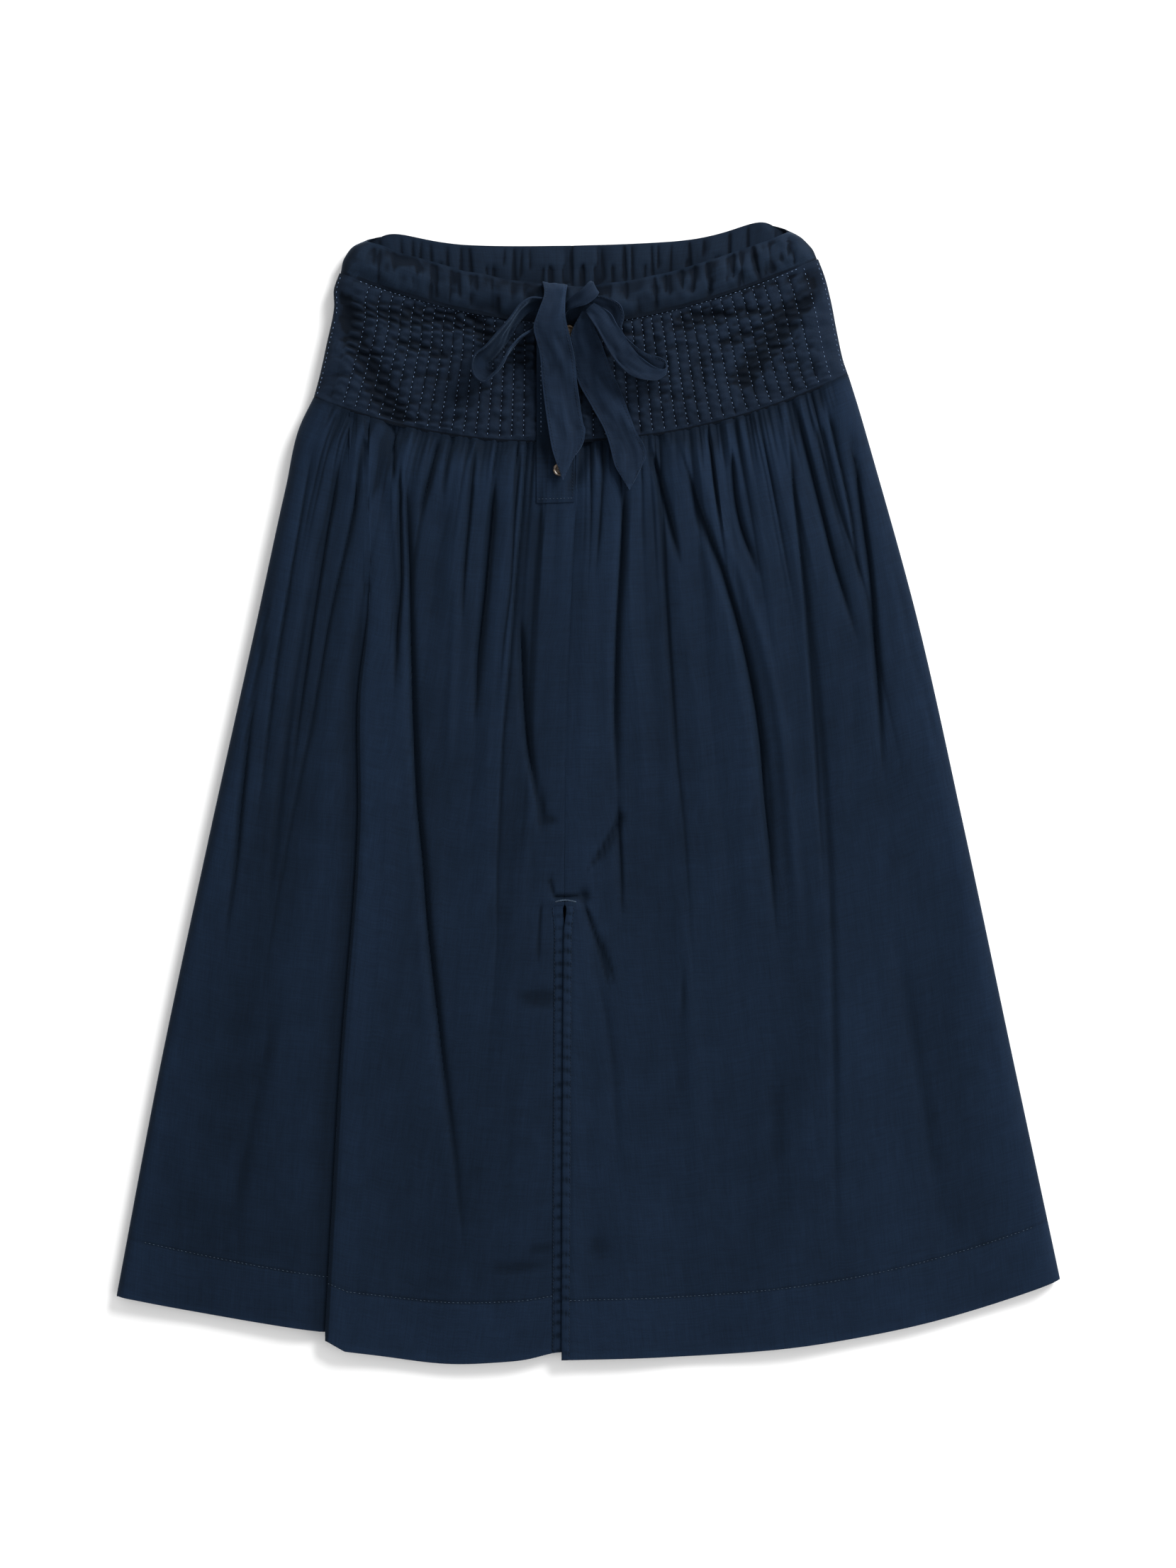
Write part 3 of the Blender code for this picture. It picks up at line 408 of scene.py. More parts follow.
def lap_over(face, split, alongs):
    """Opens the left front beside the lap's column and sets the fold in, over the cloth on its left."""
    before, after = face[:, :split].copy(), face[:, split:].copy()
    a, b = before[:, -1], after[:, 0]
    rise = b[:, 2] - a[:, 2]
    folded = ease((alongs - LAP_REACH[0]) / (LAP_REACH[1] - LAP_REACH[0]))
    overlap = LAP_OVERLAP * ease((alongs - LAP_REACH[0]) / (1 - LAP_REACH[0]))
    stations = np.linspace(0, len(LAP_PROFILE) - 1, LAP_FOLD_COLUMNS)
    numbers = range(len(LAP_PROFILE))
    part, shift, height = (through(numbers, column, stations) for column in zip(*LAP_PROFILE))
    fold = []
    for k in range(LAP_FOLD_COLUMNS):
        flat = a + (b - a) * (k + 0.5) / LAP_FOLD_COLUMNS
        level = a[:, 2] + rise * ease((k / LAP_FOLD_COLUMNS - 0.6) / 0.35)
        x = x_on(LAP_EDGE, flat[:, 1]) + part[k] * overlap + shift[k]
        lapped = np.stack([x, flat[:, 1], level + height[k]], axis=1)
        fold.append(flat + (lapped - flat) * folded[:, None])
    for piece, (swell, reach) in ((before, LAP_FALL), (after, LAP_SWELL)):
        away = (piece[..., 0] - x_on(LAP_EDGE, piece[..., 1])) / reach
        piece[..., 2] += swell * folded[:, None] * np.exp(-(away**2))
    # The columns beside the fold stand clear of it.
    clear = LAP_CLEAR_COLUMNS
    steps = 0.5 * np.arange(1, clear + 1)[None, :]
    before[:, -clear:, 0] = np.minimum(before[:, -clear:, 0], fold[0][:, :1] - steps[:, ::-1])
    after[:, :clear, 0] = np.maximum(after[:, :clear, 0], fold[-1][:, :1] + steps)
    face = np.concatenate([before, np.stack(fold, axis=1), after], axis=1)
    # The steps where the fold meets the cloth on its right and left are smoothed away.
    right_brim = slice(split + LAP_FOLD_COLUMNS - 3, split + LAP_FOLD_COLUMNS + 20)
    left_brim = slice(split - 12, split - 2)
    for _ in range(3):
        soft = blurred(face[..., 2], (1, 4))
        face[:, right_brim, 2] = soft[:, right_brim]
        face[:, left_brim, 2] = 0.5 * face[:, left_brim, 2] + 0.5 * soft[:, left_brim]
    # Left of the lap the hem lies a little higher, because the fold takes up its length.
    x = face[..., 0]
    edge_x = x_on(LAP_EDGE, face[:, split, 1])[:, None]
    share = np.clip((edge_x + 4.0 - x) / (edge_x + 4.0 - face[:, :1, 0]), 0.0, 1.0)
    under = np.arange(face.shape[1]) < split + LAP_FOLD_COLUMNS // 2
    fall = (1 - share**2.2) * np.where(under, 1.0, np.clip(1 - (x - edge_x) / 14.0, 0, 1) * 0.5)
    face[..., 1] += LAP_HEM_RISE * alongs[:, None] ** 5 * fall
    return face


def row_places():
    """The share of the way down of each row: closest under the seam, by the slit's top and at the hem."""
    fine = np.linspace(0, 1, 4001)
    density = 1 / (1.25 * fine**0.2 + 0.12) + 2.4 * np.exp(-(((fine - 0.502) / 0.018) ** 2))
    density += 3.0 * np.exp(-(((fine - 1 + HEM_DEPTH / SKIRT_LENGTH) / 0.006) ** 2))
    return np.interp(np.linspace(0, 1, SKIRT_ROWS), np.cumsum(density) / density.sum(), fine)


def slit_gap(side, below):
    """Half the gap at the centre front, and how far the slit has opened, at a distance below its top."""
    slit = ease(below / 6.0)
    opening = SLIT_OPEN[0] * ease(below / 5.0) * (1 - ease((below - 4.0) / SLIT_OPEN[1]))
    gap = opening / 2 - (SLIT_OVERLAP / 2) * ease((below - 6.0) / SLIT_OPEN[1])
    return gap - (SEAM_OVERLAP if side == "left" else 0.0) * (1 - slit), slit


def front_columns(side, line, centre, gap):
    """The x of a front's columns, where its flat part starts, and the column that the lap opens at."""
    way = 1 if side == "left" else -1
    inner = (line["lx"] if side == "left" else line["rx"]) + way * line["roll"] * TURN_REACH
    edge = side_columns(line, way, SIDE_COLUMNS)
    share = np.linspace(0, 1, SKIRT_COLUMNS[side])
    if side == "right":
        x = centre + gap + (inner - centre - gap) * share[None, :]
        return np.concatenate([x, edge[:, ::-1]], axis=1), inner, None
    # The lap's own columns replace one step of the grid, so the grid has a column on each side of it.
    share = np.sort(np.append(share, (LAP_COLUMN - LAP_STEP, LAP_COLUMN + LAP_STEP)))
    share = share[abs(share - LAP_COLUMN) > 0.99 * LAP_STEP]
    x = inner + (centre - gap - inner) * lap_warp(share[None, :], line, centre)
    return np.concatenate([edge, x], axis=1), inner, SIDE_COLUMNS + int(np.searchsorted(share, LAP_COLUMN))


def seam_relief(side, x, y, centre, slit):
    """What the centre seam and the slit add to the height: a groove, then a raised or sunk turned edge."""
    near = abs(x - centre)
    rise = ease(1 - near / 26.0) * slit * (-0.7 if side == "left" else 1.1)
    rise = rise - 0.4 * slit * np.exp(-((near - SLIT_STRIPS[side]) ** 2))
    rise = rise - (0.35 if side == "left" else 0.25) * np.exp(-((near / 1.4) ** 2)) * (1 - slit)
    # The cloth doubles over a little above the bar at the top of the slit, and pinches into a
    # pocket on its right.
    tuck = ease((x - centre + 10.0) / 4.0) * ease((centre + 13.0 - x) / 5.0)
    rise = rise - 3.2 * tuck * np.exp(-(((y - SLIT_TOP - 3.4) / 1.6) ** 2))
    return rise - 4.0 * np.exp(-(((x - centre - 14.0) / 4.5) ** 2) - ((y - SLIT_TOP - 4.0) / 5.0) ** 2)


def skirt_front(side):
    """The outer face of one skirt front and the light and shade painted on it along its folds: rows from
    the yoke seam to the hem.
    """
    left = side == "left"
    kind = 1 if left else 5
    alongs = row_places()
    along = alongs[:, None]
    line = cloth_line(SKIRT_LINES, along)
    width = line["rx"] - line["lx"]
    chord_y = (line["ly"] + line["ry"]) / 2 - line["dip"]
    centre = x_on(CENTRE_FRONT, chord_y)
    gap, slit = slit_gap(side, SLIT_TOP - chord_y)
    x, inner, split = front_columns(side, line, centre, gap)
    y = line_y(line, x)
    place = np.clip((x - inner) / (centre - inner), 0.0, 1.0)
    calm = ease(side_room(line, x) / 22.0)

    puff = pleated(place, alongs, GATHERS[side], kind, GATHER_HEIGHT, GATHER_REACH)
    puff *= ease(along / 0.012 + 0.3)
    long_pleats = pleated(place, alongs, PLEATS[side], kind + 40, PLEAT_HEIGHT, PLEAT_REACH)
    puff += long_pleats * ease(along / 0.12) * (1 - 0.75 * along)
    fine = creased(place, along, width, kind, *FINE_FOLDS)
    fine += creased(place, along, width, kind + 60, *SHORT_FOLDS)
    # The folds lie flatter beside the centre front, and also under the placket.
    under_placket = (1 - ease((along - PLACKET_BOTTOM) / 0.02)) * (x < centre + 1)
    flatter = ease(abs(x - centre) / 15.0 + 0.05) - 0.55 * ease((x - PLACKET_LEFT) / 6.0) * under_placket
    puff *= flatter
    fine *= flatter
    fine += (fold_height(x, y) + hollow_height(x, y)) * ease(abs(x - centre) / 9.0)
    planes = rumple(7.0 * place, 2.2 * along, 1.0, 1.0, kind + 70) * ease(along / 0.1) * (1 - 0.6 * along)
    soft = (0.30 - 0.22 * along) * rumple(x, y, 9.0, 70.0, 31) + 0.45 * rumple(x, y, 34.0, 90.0, 37)
    soft *= 1 - 0.45 * ease((along - 0.925) / 0.02)
    swell = along * (np.sin(x / 31.0 + 2.2) + 0.7 * np.sin(x / 19.0 + 6 * along))
    z = front_height(line, x) + (puff + fine + 1.2 * planes + soft + crease_height(x, y) + swell) * calm
    z += seam_relief(side, x, y, centre, slit)
    if left:
        # The left hem hangs lower halfway along and higher beside the slit.
        y = y - 4.0 * along**6 * np.exp(-(((x + 110.0) / 45.0) ** 2))
        y = y + 6.0 * along**6 * np.exp(-(((x + 20.0) / 22.0) ** 2))
    # The stitched top of the hem pulls in a little, and puckers.
    past = along - 1 + HEM_DEPTH / SKIRT_LENGTH
    z -= 0.35 * np.exp(-((past / 0.0022) ** 2)) * calm
    z += 0.35 * rumple(x, y, 7.0, 12.0, 43) * np.exp(-((past / 0.010) ** 2)) * calm
    z[:, 0 if left else -1] = line["roll"][:, 0]

    face = np.stack([x, y, z], axis=2)
    # Painted shade darkens the folds' valleys, and painted light and shade make the pressed planes paler
    # and darker.
    shade = (0.5 * planes - 1.6 * np.clip(-fine / 3.4, 0.0, 1.0) ** 2) * calm
    if left:
        # Painted light makes the lap's edge paler, and a painted shadow darkens the cloth to its left.
        face = lap_over(face, split, alongs)
        shade = np.insert(shade, [split] * LAP_FOLD_COLUMNS, shade[:, split : split + 1], axis=1)
        away = face[..., 0] - x_on(LAP_EDGE, face[..., 1])
        shadow = 1.2 * np.exp(-(((away + 3.0) / 10.0) ** 2)) * (away < 1.0)
        shadow += 0.25 * ease((-away - 4.0) / 14.0)
        shade -= shadow * ease((along - 0.12) / 0.2)
        shade += 0.35 * (away > 1.0) * np.exp(-((away / 30.0) ** 2))
    return face, shade


def normals_of(face, upward=True):
    """The normals of a grid, turned up or down."""
    normal = np.cross(np.gradient(face, axis=0), np.gradient(face, axis=1))
    normal /= np.maximum(np.linalg.norm(normal, axis=2, keepdims=True), 1e-9)
    middle = normal[normal.shape[0] // 2, normal.shape[1] // 2, 2]
    return normal if (middle > 0) == upward else -normal


def set_back(face, wall, ends, upward=True):
    """The inner face of a wall.

    ends names the axis along which the wall doesn't lean: at the first and last row, and at the first and
    last column.
    """
    normal = normals_of(face, upward)
    for edge, axis in zip((np.s_[0, :], np.s_[-1, :], np.s_[:, 0], np.s_[:, -1]), ends):
        if axis is not None:
            normal[(*edge, axis)] = 0.0
    normal /= np.maximum(np.linalg.norm(normal, axis=2, keepdims=True), 1e-9)
    return face - normal * wall


def blurred(values, reach):
    """A soft average of a grid over reach cells each way."""
    out = values
    for axis in (0, 1):
        size = min(reach[axis], out.shape[axis] - 1)
        pad = [(size, size) if a == axis else (0, 0) for a in (0, 1)]
        total = np.cumsum(np.pad(out, pad, mode="edge"), axis=axis)
        ahead = np.take(total, range(2 * size, total.shape[axis]), axis=axis)
        behind = np.take(total, range(0, total.shape[axis] - 2 * size), axis=axis)
        out = (ahead - behind) / (2 * size)
    return out


def piece_of(name, shape, material):
    """A piece made from a finished bmesh in its material, and placed in the scene."""
    data = bpy.data.meshes.new(name)
    shape.to_mesh(data)
    shape.free()
    data.materials.append(material)
    piece = bpy.data.objects.new(name, data)
    bpy.context.scene.collection.objects.link(piece)
    return piece


def signed_volume(data):
    """Six times a closed mesh's volume, below zero where it is inside out."""
    data.calc_loop_triangles()
    triangles = np.empty(len(data.loop_triangles) * 3, int)
    data.loop_triangles.foreach_get("vertices", triangles)
    points = np.empty(len(data.vertices) * 3)
    data.vertices.foreach_get("co", points)
    a, b, c = points.reshape(-1, 3)[triangles.reshape(-1, 3)].transpose(1, 0, 2)
    return float((a * np.cross(b, c)).sum())


def cloth_wall(name, upper, lower, material, wear_and_shade):
    """A closed wall of cloth between two faces in millimetres, with a cloth map and a mask of its wear and
    of painted light and shade.
    """
    rows, columns = upper.shape[:2]
    grid = bmesh.new()
    bmesh.ops.create_grid(grid, x_segments=columns - 1, y_segments=rows - 1, size=0.5)
    raised = bmesh.ops.extrude_face_region(grid, geom=grid.faces[:])["geom"]
    bmesh.ops.translate(grid, verts=[v for v in raised if isinstance(v, bmesh.types.BMVert)], vec=(0, 0, 1))
    bmesh.ops.recalc_face_normals(grid, faces=grid.faces[:])
    piece = piece_of(name, grid, material)
    data = piece.data
    places = np.empty(len(data.vertices) * 3)
    data.vertices.foreach_get("co", places)
    places = places.reshape(-1, 3)
    row = np.rint((0.5 - places[:, 1]) * (rows - 1)).astype(int)
    column = np.rint((places[:, 0] + 0.5) * (columns - 1)).astype(int)
    top = places[:, 2] > 0.5
    points = np.where(top[:, None], upper[row, column], lower[row, column]) * 0.001
    data.vertices.foreach_set("co", points.ravel())
    across = np.linalg.norm(np.diff(upper, axis=1, prepend=upper[:, :1]), axis=2).cumsum(axis=1)
    down = np.linalg.norm(np.diff(upper, axis=0, prepend=upper[:1]), axis=2).cumsum(axis=0)
    across -= across[:, -1:] / 2
    corners = np.empty(len(data.loops), int)
    data.loops.foreach_get("vertex_index", corners)
    cloth_map = np.stack([across, -down], axis=2)[row, column] * 0.001
    data.uv_layers.new(name="cloth").data.foreach_set("uv", cloth_map[corners].ravel())
    mask = data.attributes.new("wear_and_shade", "FLOAT", "POINT")
    mask.data.foreach_set("value", np.where(top, wear_and_shade[row, column], 0.3 * wear_and_shade[row, column]))
    if signed_volume(data) < 0:
        data.flip_normals()
    data.shade_smooth()
    data.set_sharp_from_angle(angle=math.radians(55.0))
    return piece


def relief(face, reach=(6, 5), strength=1.1, broad=(22, 26), swell=2.6):
    """Where the cloth stands proud of what is round it: it fades on folds, and painted shade darkens the
    hollows and creases between them.
    """
    height = face[..., 2]
    proud = height - blurred(height, reach)
    swollen = blurred(height, reach) - blurred(height, broad)
    creased = np.minimum(height - blurred(height, (2, 2)), 0.0)
    total = 0.6 * np.clip(proud / strength, -1.0, 1.0) + 0.6 * np.clip(swollen / swell, -1.0, 1.0)
    return total + 0.9 * np.clip(creased / 0.3, -1.0, 0.0)


def maths(tree, operation, *values, clamp=False):
    """The result of a maths node on sockets or plain numbers."""
    node = tree.nodes.new("ShaderNodeMath")
    node.operation = operation
    node.use_clamp = clamp
    for socket, value in zip(node.inputs, values):
        if isinstance(value, bpy.types.NodeSocket):
            tree.links.new(value, socket)
        else:
            socket.default_value = value
    return node.outputs[0]


def blended(tree, blend, factor, first, second):
    """Two colours blended by a socket or a plain number."""
    node = tree.nodes.new("ShaderNodeMix")
    node.data_type = "RGBA"
    node.blend_type = blend
    if isinstance(factor, bpy.types.NodeSocket):
        tree.links.new(factor, node.inputs[0])
    else:
        node.inputs[0].default_value = factor
    tree.links.new(first, node.inputs[6])
    tree.links.new(second, node.inputs[7])
    return node.outputs[2]


def noise(tree, source, scale, detail=2.0, rough=0.5, stretch=None, turn=0.0):
    """A noise over the source, drawn out and turned where stretch is given."""
    if stretch is not None:
        place = tree.nodes.new("ShaderNodeMapping")
        place.inputs["Scale"].default_value = stretch
        place.inputs["Rotation"].default_value = (0.0, 0.0, turn)
        tree.links.new(source, place.inputs["Vector"])
        source = place.outputs["Vector"]
    node = tree.nodes.new("ShaderNodeTexNoise")
    node.inputs["Scale"].default_value = scale
    node.inputs["Detail"].default_value = detail
    node.inputs["Roughness"].default_value = rough
    tree.links.new(source, node.inputs["Vector"])
    return node.outputs["Fac"]


def bumped(tree, height, distance):
    """The normal of a bump that is distance metres high."""
    bump = tree.nodes.new("ShaderNodeBump")
    bump.inputs["Distance"].default_value = distance
    tree.links.new(height, bump.inputs["Height"])
    return bump.outputs["Normal"]


def twill_group():
    """Garment-dyed cotton twill: its fine diagonal, uneven yarns, cloudy dye, and faded high spots, with
    the painted light and shade of the mask it reads.
    """
    group = bpy.data.node_groups.new("cotton_twill", "ShaderNodeTree")
    for name, way, kind in (
        ("Dye", "INPUT", "NodeSocketColor"),
        ("Faded", "INPUT", "NodeSocketColor"),
        ("Colour", "OUTPUT", "NodeSocketColor"),
        ("Roughness", "OUTPUT", "NodeSocketFloat"),
        ("Height", "OUTPUT", "NodeSocketFloat"),
    ):
        group.interface.new_socket(name=name, in_out=way, socket_type=kind)
    dyes = group.nodes.new("NodeGroupInput").outputs
    results = group.nodes.new("NodeGroupOutput").inputs
    cloth_map = group.nodes.new("ShaderNodeUVMap")
    cloth_map.uv_map = "cloth"
    cloth = cloth_map.outputs["UV"]
    wear_and_shade = group.nodes.new("ShaderNodeAttribute")
    wear_and_shade.attribute_name = "wear_and_shade"
    wale = group.nodes.new("ShaderNodeTexWave")
    wale.wave_type = "BANDS"
    wale.bands_direction = "DIAGONAL"
    wale.inputs["Scale"].default_value = 620.0
    wale.inputs["Distortion"].default_value = 0.6
    wale.inputs["Detail"].default_value = 1.0
    group.links.new(cloth, wale.inputs["Vector"])
    yarn = noise(group, cloth, 900.0, stretch=(1.0, 0.05, 1.0))
    weft = noise(group, cloth, 800.0, stretch=(0.05, 1.0, 1.0))
    cloud = noise(group, cloth, 24.0, 5.0, 0.68)
    streak = noise(group, cloth, 160.0, 3.0, 0.6, stretch=(1.0, 0.06, 1.0))
    fuzz = noise(group, cloth, 700.0, 3.0, 0.7)
    # The blend to the faded colour follows the mask of wear and painted light and shade, broken up by the
    # cloudy dye and the streaks along the warp.
    clouds = maths(group, "MULTIPLY_ADD", cloud, 0.9, -0.45)
    streaks = maths(group, "MULTIPLY_ADD", streak, 0.4, -0.2)
    uneven_dye = maths(group, "ADD", clouds, streaks)
    marks = maths(group, "MULTIPLY_ADD", wear_and_shade.outputs["Fac"], 0.46, 0.45)
    fade_and_shade = maths(group, "ADD", marks, uneven_dye, clamp=True)
    dyed = blended(group, "MIX", fade_and_shade, dyes["Dye"], dyes["Faded"])
    # The yarns' own tone: a fine pepper of lighter and darker threads, with the fuzz over them.
    threads = maths(group, "ADD", yarn, weft)
    nap = maths(group, "MULTIPLY_ADD", fuzz, 0.9, threads)
    pepper = maths(group, "MULTIPLY_ADD", nap, 0.5, 0.275)
    group.links.new(blended(group, "MULTIPLY", 1.0, dyed, pepper), results["Colour"])
    group.links.new(maths(group, "MULTIPLY_ADD", fuzz, 0.16, 0.72), results["Roughness"])
    diagonal = maths(group, "MULTIPLY_ADD", wale.outputs["Fac"], 0.55, threads)
    group.links.new(maths(group, "MULTIPLY_ADD", fuzz, 0.35, diagonal), results["Height"])
    return group


def new_material(name):
    """A new material with its node tree and the sockets of its shader."""
    material = bpy.data.materials.new(name)
    material.use_nodes = True
    return material, material.node_tree, material.node_tree.nodes["Principled BSDF"].inputs


def cloth_material(name, dye, faded):
    """The twill between its full dye and its faded colour."""
    material, tree, shader = new_material(name)
    shader["Specular IOR Level"].default_value = 0.07
    shader["Sheen Weight"].default_value = 0.14
    shader["Sheen Roughness"].default_value = 0.45
    shader["Sheen Tint"].default_value = (0.30, 0.46, 0.72, 1.0)
    twill = tree.nodes.new("ShaderNodeGroup")
    twill.node_tree = bpy.data.node_groups.get("cotton_twill") or twill_group()
    twill.inputs["Dye"].default_value = (*dye, 1.0)
    twill.inputs["Faded"].default_value = (*faded, 1.0)
    tree.links.new(twill.outputs["Colour"], shader["Base Color"])
    tree.links.new(twill.outputs["Roughness"], shader["Roughness"])
    tree.links.new(bumped(tree, twill.outputs["Height"], 0.00006), shader["Normal"])
    return material


def two_tones(tree, source, tones):
    """A colour between two tones, each with its place on the source."""
    ramp = tree.nodes.new("ShaderNodeValToRGB")
    for element, (place, colour) in zip(ramp.color_ramp.elements, tones):
        element.position = place
        element.color = (*colour, 1.0)
    tree.links.new(source, ramp.inputs["Fac"])
    return ramp.outputs["Color"]


def thread_material(name, colour):
    """Sewing thread, mottled by its twist."""
    material, tree, shader = new_material(name)
    shader["Specular IOR Level"].default_value = 0.12
    shader["Sheen Weight"].default_value = 0.1
    shader["Sheen Roughness"].default_value = 0.4
    shader["Sheen Tint"].default_value = (0.45, 0.60, 0.85, 1.0)
    spots = noise(tree, tree.nodes.new("ShaderNodeTexCoord").outputs["Object"], 420.0)
    darker = [0.45 * c for c in colour]
    tree.links.new(two_tones(tree, spots, ((0.3, darker), (0.7, colour))), shader["Base Color"])
    tree.links.new(maths(tree, "MULTIPLY_ADD", spots, 0.2, 0.5), shader["Roughness"])
    return material


def on_cloth(face, rows, columns):
    """Points and normals of a face at fractional rows and columns, in millimetres."""
    rows, columns = np.broadcast_arrays(np.asarray(rows, float), np.asarray(columns, float))
    r = np.clip(rows, 0, face.shape[0] - 1.001)
    c = np.clip(columns, 0, face.shape[1] - 1.001)
    i, j = r.astype(int), c.astype(int)
    s, t = (r - i)[..., None], (c - j)[..., None]
    found = []
    for grid in (face, normals_of(face)):
        low = grid[i, j] * (1 - t) + grid[i, j + 1] * t
        high = grid[i + 1, j] * (1 - t) + grid[i + 1, j + 1] * t
        found.append(low * (1 - s) + high * s)
    return found


def across_cloth(face, points):
    """A run over the cloth through places given as x and y, found by the nearest knots of its grid."""
    coarse = face[::3, ::3]
    found = []
    for x, y in points:
        away = np.hypot(coarse[..., 0] - x, coarse[..., 1] - y)
        row, column = (3 * int(k) for k in np.unravel_index(np.argmin(away), away.shape))
        i, j = max(row - 4, 0), max(column - 4, 0)
        near = face[i : row + 5, j : column + 5]
        away = np.hypot(near[..., 0] - x, near[..., 1] - y)
        row, column = np.unravel_index(np.argmin(away), away.shape)
        found.append((i + row, j + column))
    i, j = np.array(found).T
    return np.column_stack([np.array(points), face[i, j, 2]]), normals_of(face)[i, j]


def on_run(at, values, where):
    """The values of a run at a distance along it."""
    return np.array([np.interp(where, at, column) for column in values.T])


def sew(name, runs, pitch, length, thick, material, sunk=0.1, skip=0.0):
    """Running stitches along runs of points and normals: one small rounded thread for each stitch."""
    thread = bmesh.new()
    for number, (points, normals) in enumerate(runs):
        steps = np.linalg.norm(np.diff(points, axis=0), axis=1)
        at = np.concatenate([[0.0], np.cumsum(steps)])
        count = int(at[-1] / pitch)
        for k in range(count):
            jitter = 0.22 * (float(uneven(k + 13 * number, 3)) - 0.5)
            if float(uneven(k * 1.7 + number, 8)) < skip:
                continue
            middle = (k + 0.5 + jitter) * at[-1] / count
            long = length * (0.85 + 0.3 * float(uneven(k + number * 5, 4)))
            ahead = on_run(at, points, middle + 0.6) - on_run(at, points, middle - 0.6)
            normal = Vector(on_run(at, normals, middle)).normalized()
            along = Vector(ahead).normalized()
            side = normal.cross(along).normalized()
            normal = along.cross(side)
            turn = Matrix((along, side, normal)).transposed().to_4x4()
            centre = Vector(on_run(at, points, middle)) + normal * (thick * 0.5 - sunk)
            size = Matrix.Diagonal((long / 2, thick / 2, thick / 2, 1.0))
            place = Matrix.Translation(centre * 0.001) @ turn @ size
            bmesh.ops.create_icosphere(thread, subdivisions=1, radius=0.001, matrix=place)
    piece = piece_of(name, thread, material)
    piece.data.shade_smooth()
    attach(piece, "root")
    return piece


skirt_twill = cloth_material("skirt_twill", (0.0017, 0.0053, 0.0123), (0.0051, 0.0124, 0.0280))
navy_thread = thread_material("navy_thread", (0.010, 0.019, 0.036))
faded_thread = thread_material("faded_thread", (0.050, 0.076, 0.114))
front_faces = {}
for side, ends in (("left", (1, 1, 2, 0)), ("right", (1, 1, 0, 2))):
    face, shade = skirt_front(side)
    front_faces[side] = face
    fade_and_shade, paler = FRONT_RELIEF_AND_LIGHT[side]
    down = row_places()[:, None]
    hem = ease((down - HEM_TOP) / 0.003)
    # The mask holds fading with painted shade from the relief, each front's painted light or shade and the
    # painted shade of its folds; it is also paler towards the hem, more on the hem and at its edge, and
    # most on the hem left of the slit.
    wear_and_shade = fade_and_shade * relief(face) + paler + shade + 0.2 * down + 0.3 * hem
    wear_and_shade += 0.8 * ease((down - HEM_EDGE) / 0.004)
    wear_and_shade += 0.6 * hem * np.exp(-(((face[..., 0] + 110.0) / 60.0) ** 2))
    # Painted shade darkens the grooves of the hem's stitching and of the seam under the yoke.
    wear_and_shade -= 0.5 * np.exp(-(((down - HEM_TOP + 0.0005) / 0.0016) ** 2))
    wear_and_shade -= 1.7 * (1 - ease(down / 0.0045))
    inside = set_back(face, SKIRT_WALL, ends)
    front = cloth_wall(f"skirt_front_{side}_cloth", face, inside, skirt_twill, wear_and_shade)
    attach(front, "root")
    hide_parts(f"skirt_front_{side}")


def hem_run(face, from_share, to_share):
    """A run of points along the top of the hem."""
    row = np.interp(1 - HEM_DEPTH / SKIRT_LENGTH, row_places(), np.arange(SKIRT_ROWS))
    columns = np.linspace(from_share, to_share, 400) * (face.shape[1] - 1)
    return on_cloth(face, np.full(400, row), columns)


# The grid of a turned edge, and how many of the front's columns it lies on at the most.
EDGE_ROWS = 300
EDGE_COLUMNS = 12
EDGE_SEARCH = 40


def slit_edge(face, side):
    """The turned edge beside the slit, on the front's own points: it puckers between its stitches, with
    painted shade in the notches between the puckers.
    """
    right = side == "right"
    edge = 0 if right else -1
    kind = 5 if right else 1
    first_column = 0 if right else face.shape[1] - EDGE_SEARCH
    near = face[:, first_column : first_column + EDGE_SEARCH, 0]
    first = int(np.argmax(face[:, edge, 1] < SLIT_TOP - 3.0))
    rows = np.linspace(first, SKIRT_ROWS - 1.15, EDGE_ROWS)
    points = []
    for share in np.linspace(0, 1, EDGE_COLUMNS):
        reach = (1 if right else -1) * (SLIT_STRIPS[side] * share + 0.15)
        numbers = range(EDGE_SEARCH)
        columns = [np.interp(face[r, edge, 0] + reach, near[r], numbers) for r in rows.astype(int)]
        points.append(on_cloth(face, rows, np.array(columns) + first_column)[0])
    strip = np.stack(points, axis=1)
    share = np.linspace(0, 1, EDGE_COLUMNS)[None, :]
    y = strip[..., 1]
    beat = 2 * math.pi * (y + share) / 9.4 + 2.2 * rumple(0.0, y, 1.0, 26.0, kind + 45)
    notch = (0.5 + 0.5 * np.cos(beat)) ** 3 * (0.75 + 0.45 * rumple(0.0, y, 1.0, 19.0, kind + 47))
    notch *= 0.35 + 0.65 * np.cos(2 * math.pi * share) ** 2
    strip[..., 2] += 0.25 + 0.5 * np.sin(math.pi * share**0.8) ** 0.7
    strip[..., 2] -= 0.7 * notch * np.sin(math.pi * share) ** 0.4
    # The tone darkens in the notches as painted shade.
    return strip, 0.9 - 3.4 * notch


slit_runs = []
for side in ("left", "right"):
    strip, tone_and_shade = slit_edge(front_faces[side], side)
    turned = cloth_wall(f"slit_edge_{side}", strip, strip - (0.0, 0.0, 0.7), skirt_twill, tone_and_shade)
    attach(turned, "root")
    slit_runs.append(on_cloth(strip, np.arange(1, EDGE_ROWS - 1), EDGE_COLUMNS - 1.4))

hem_runs = [hem_run(front_faces["left"], 0.03, 0.985), hem_run(front_faces["right"], 0.015, 0.97)]
sew("hem_stitches", hem_runs, 3.2, 1.9, 0.5, faded_thread, 0.05)
sew("slit_stitches", slit_runs, 2.8, 1.8, 0.5, navy_thread, 0.0)
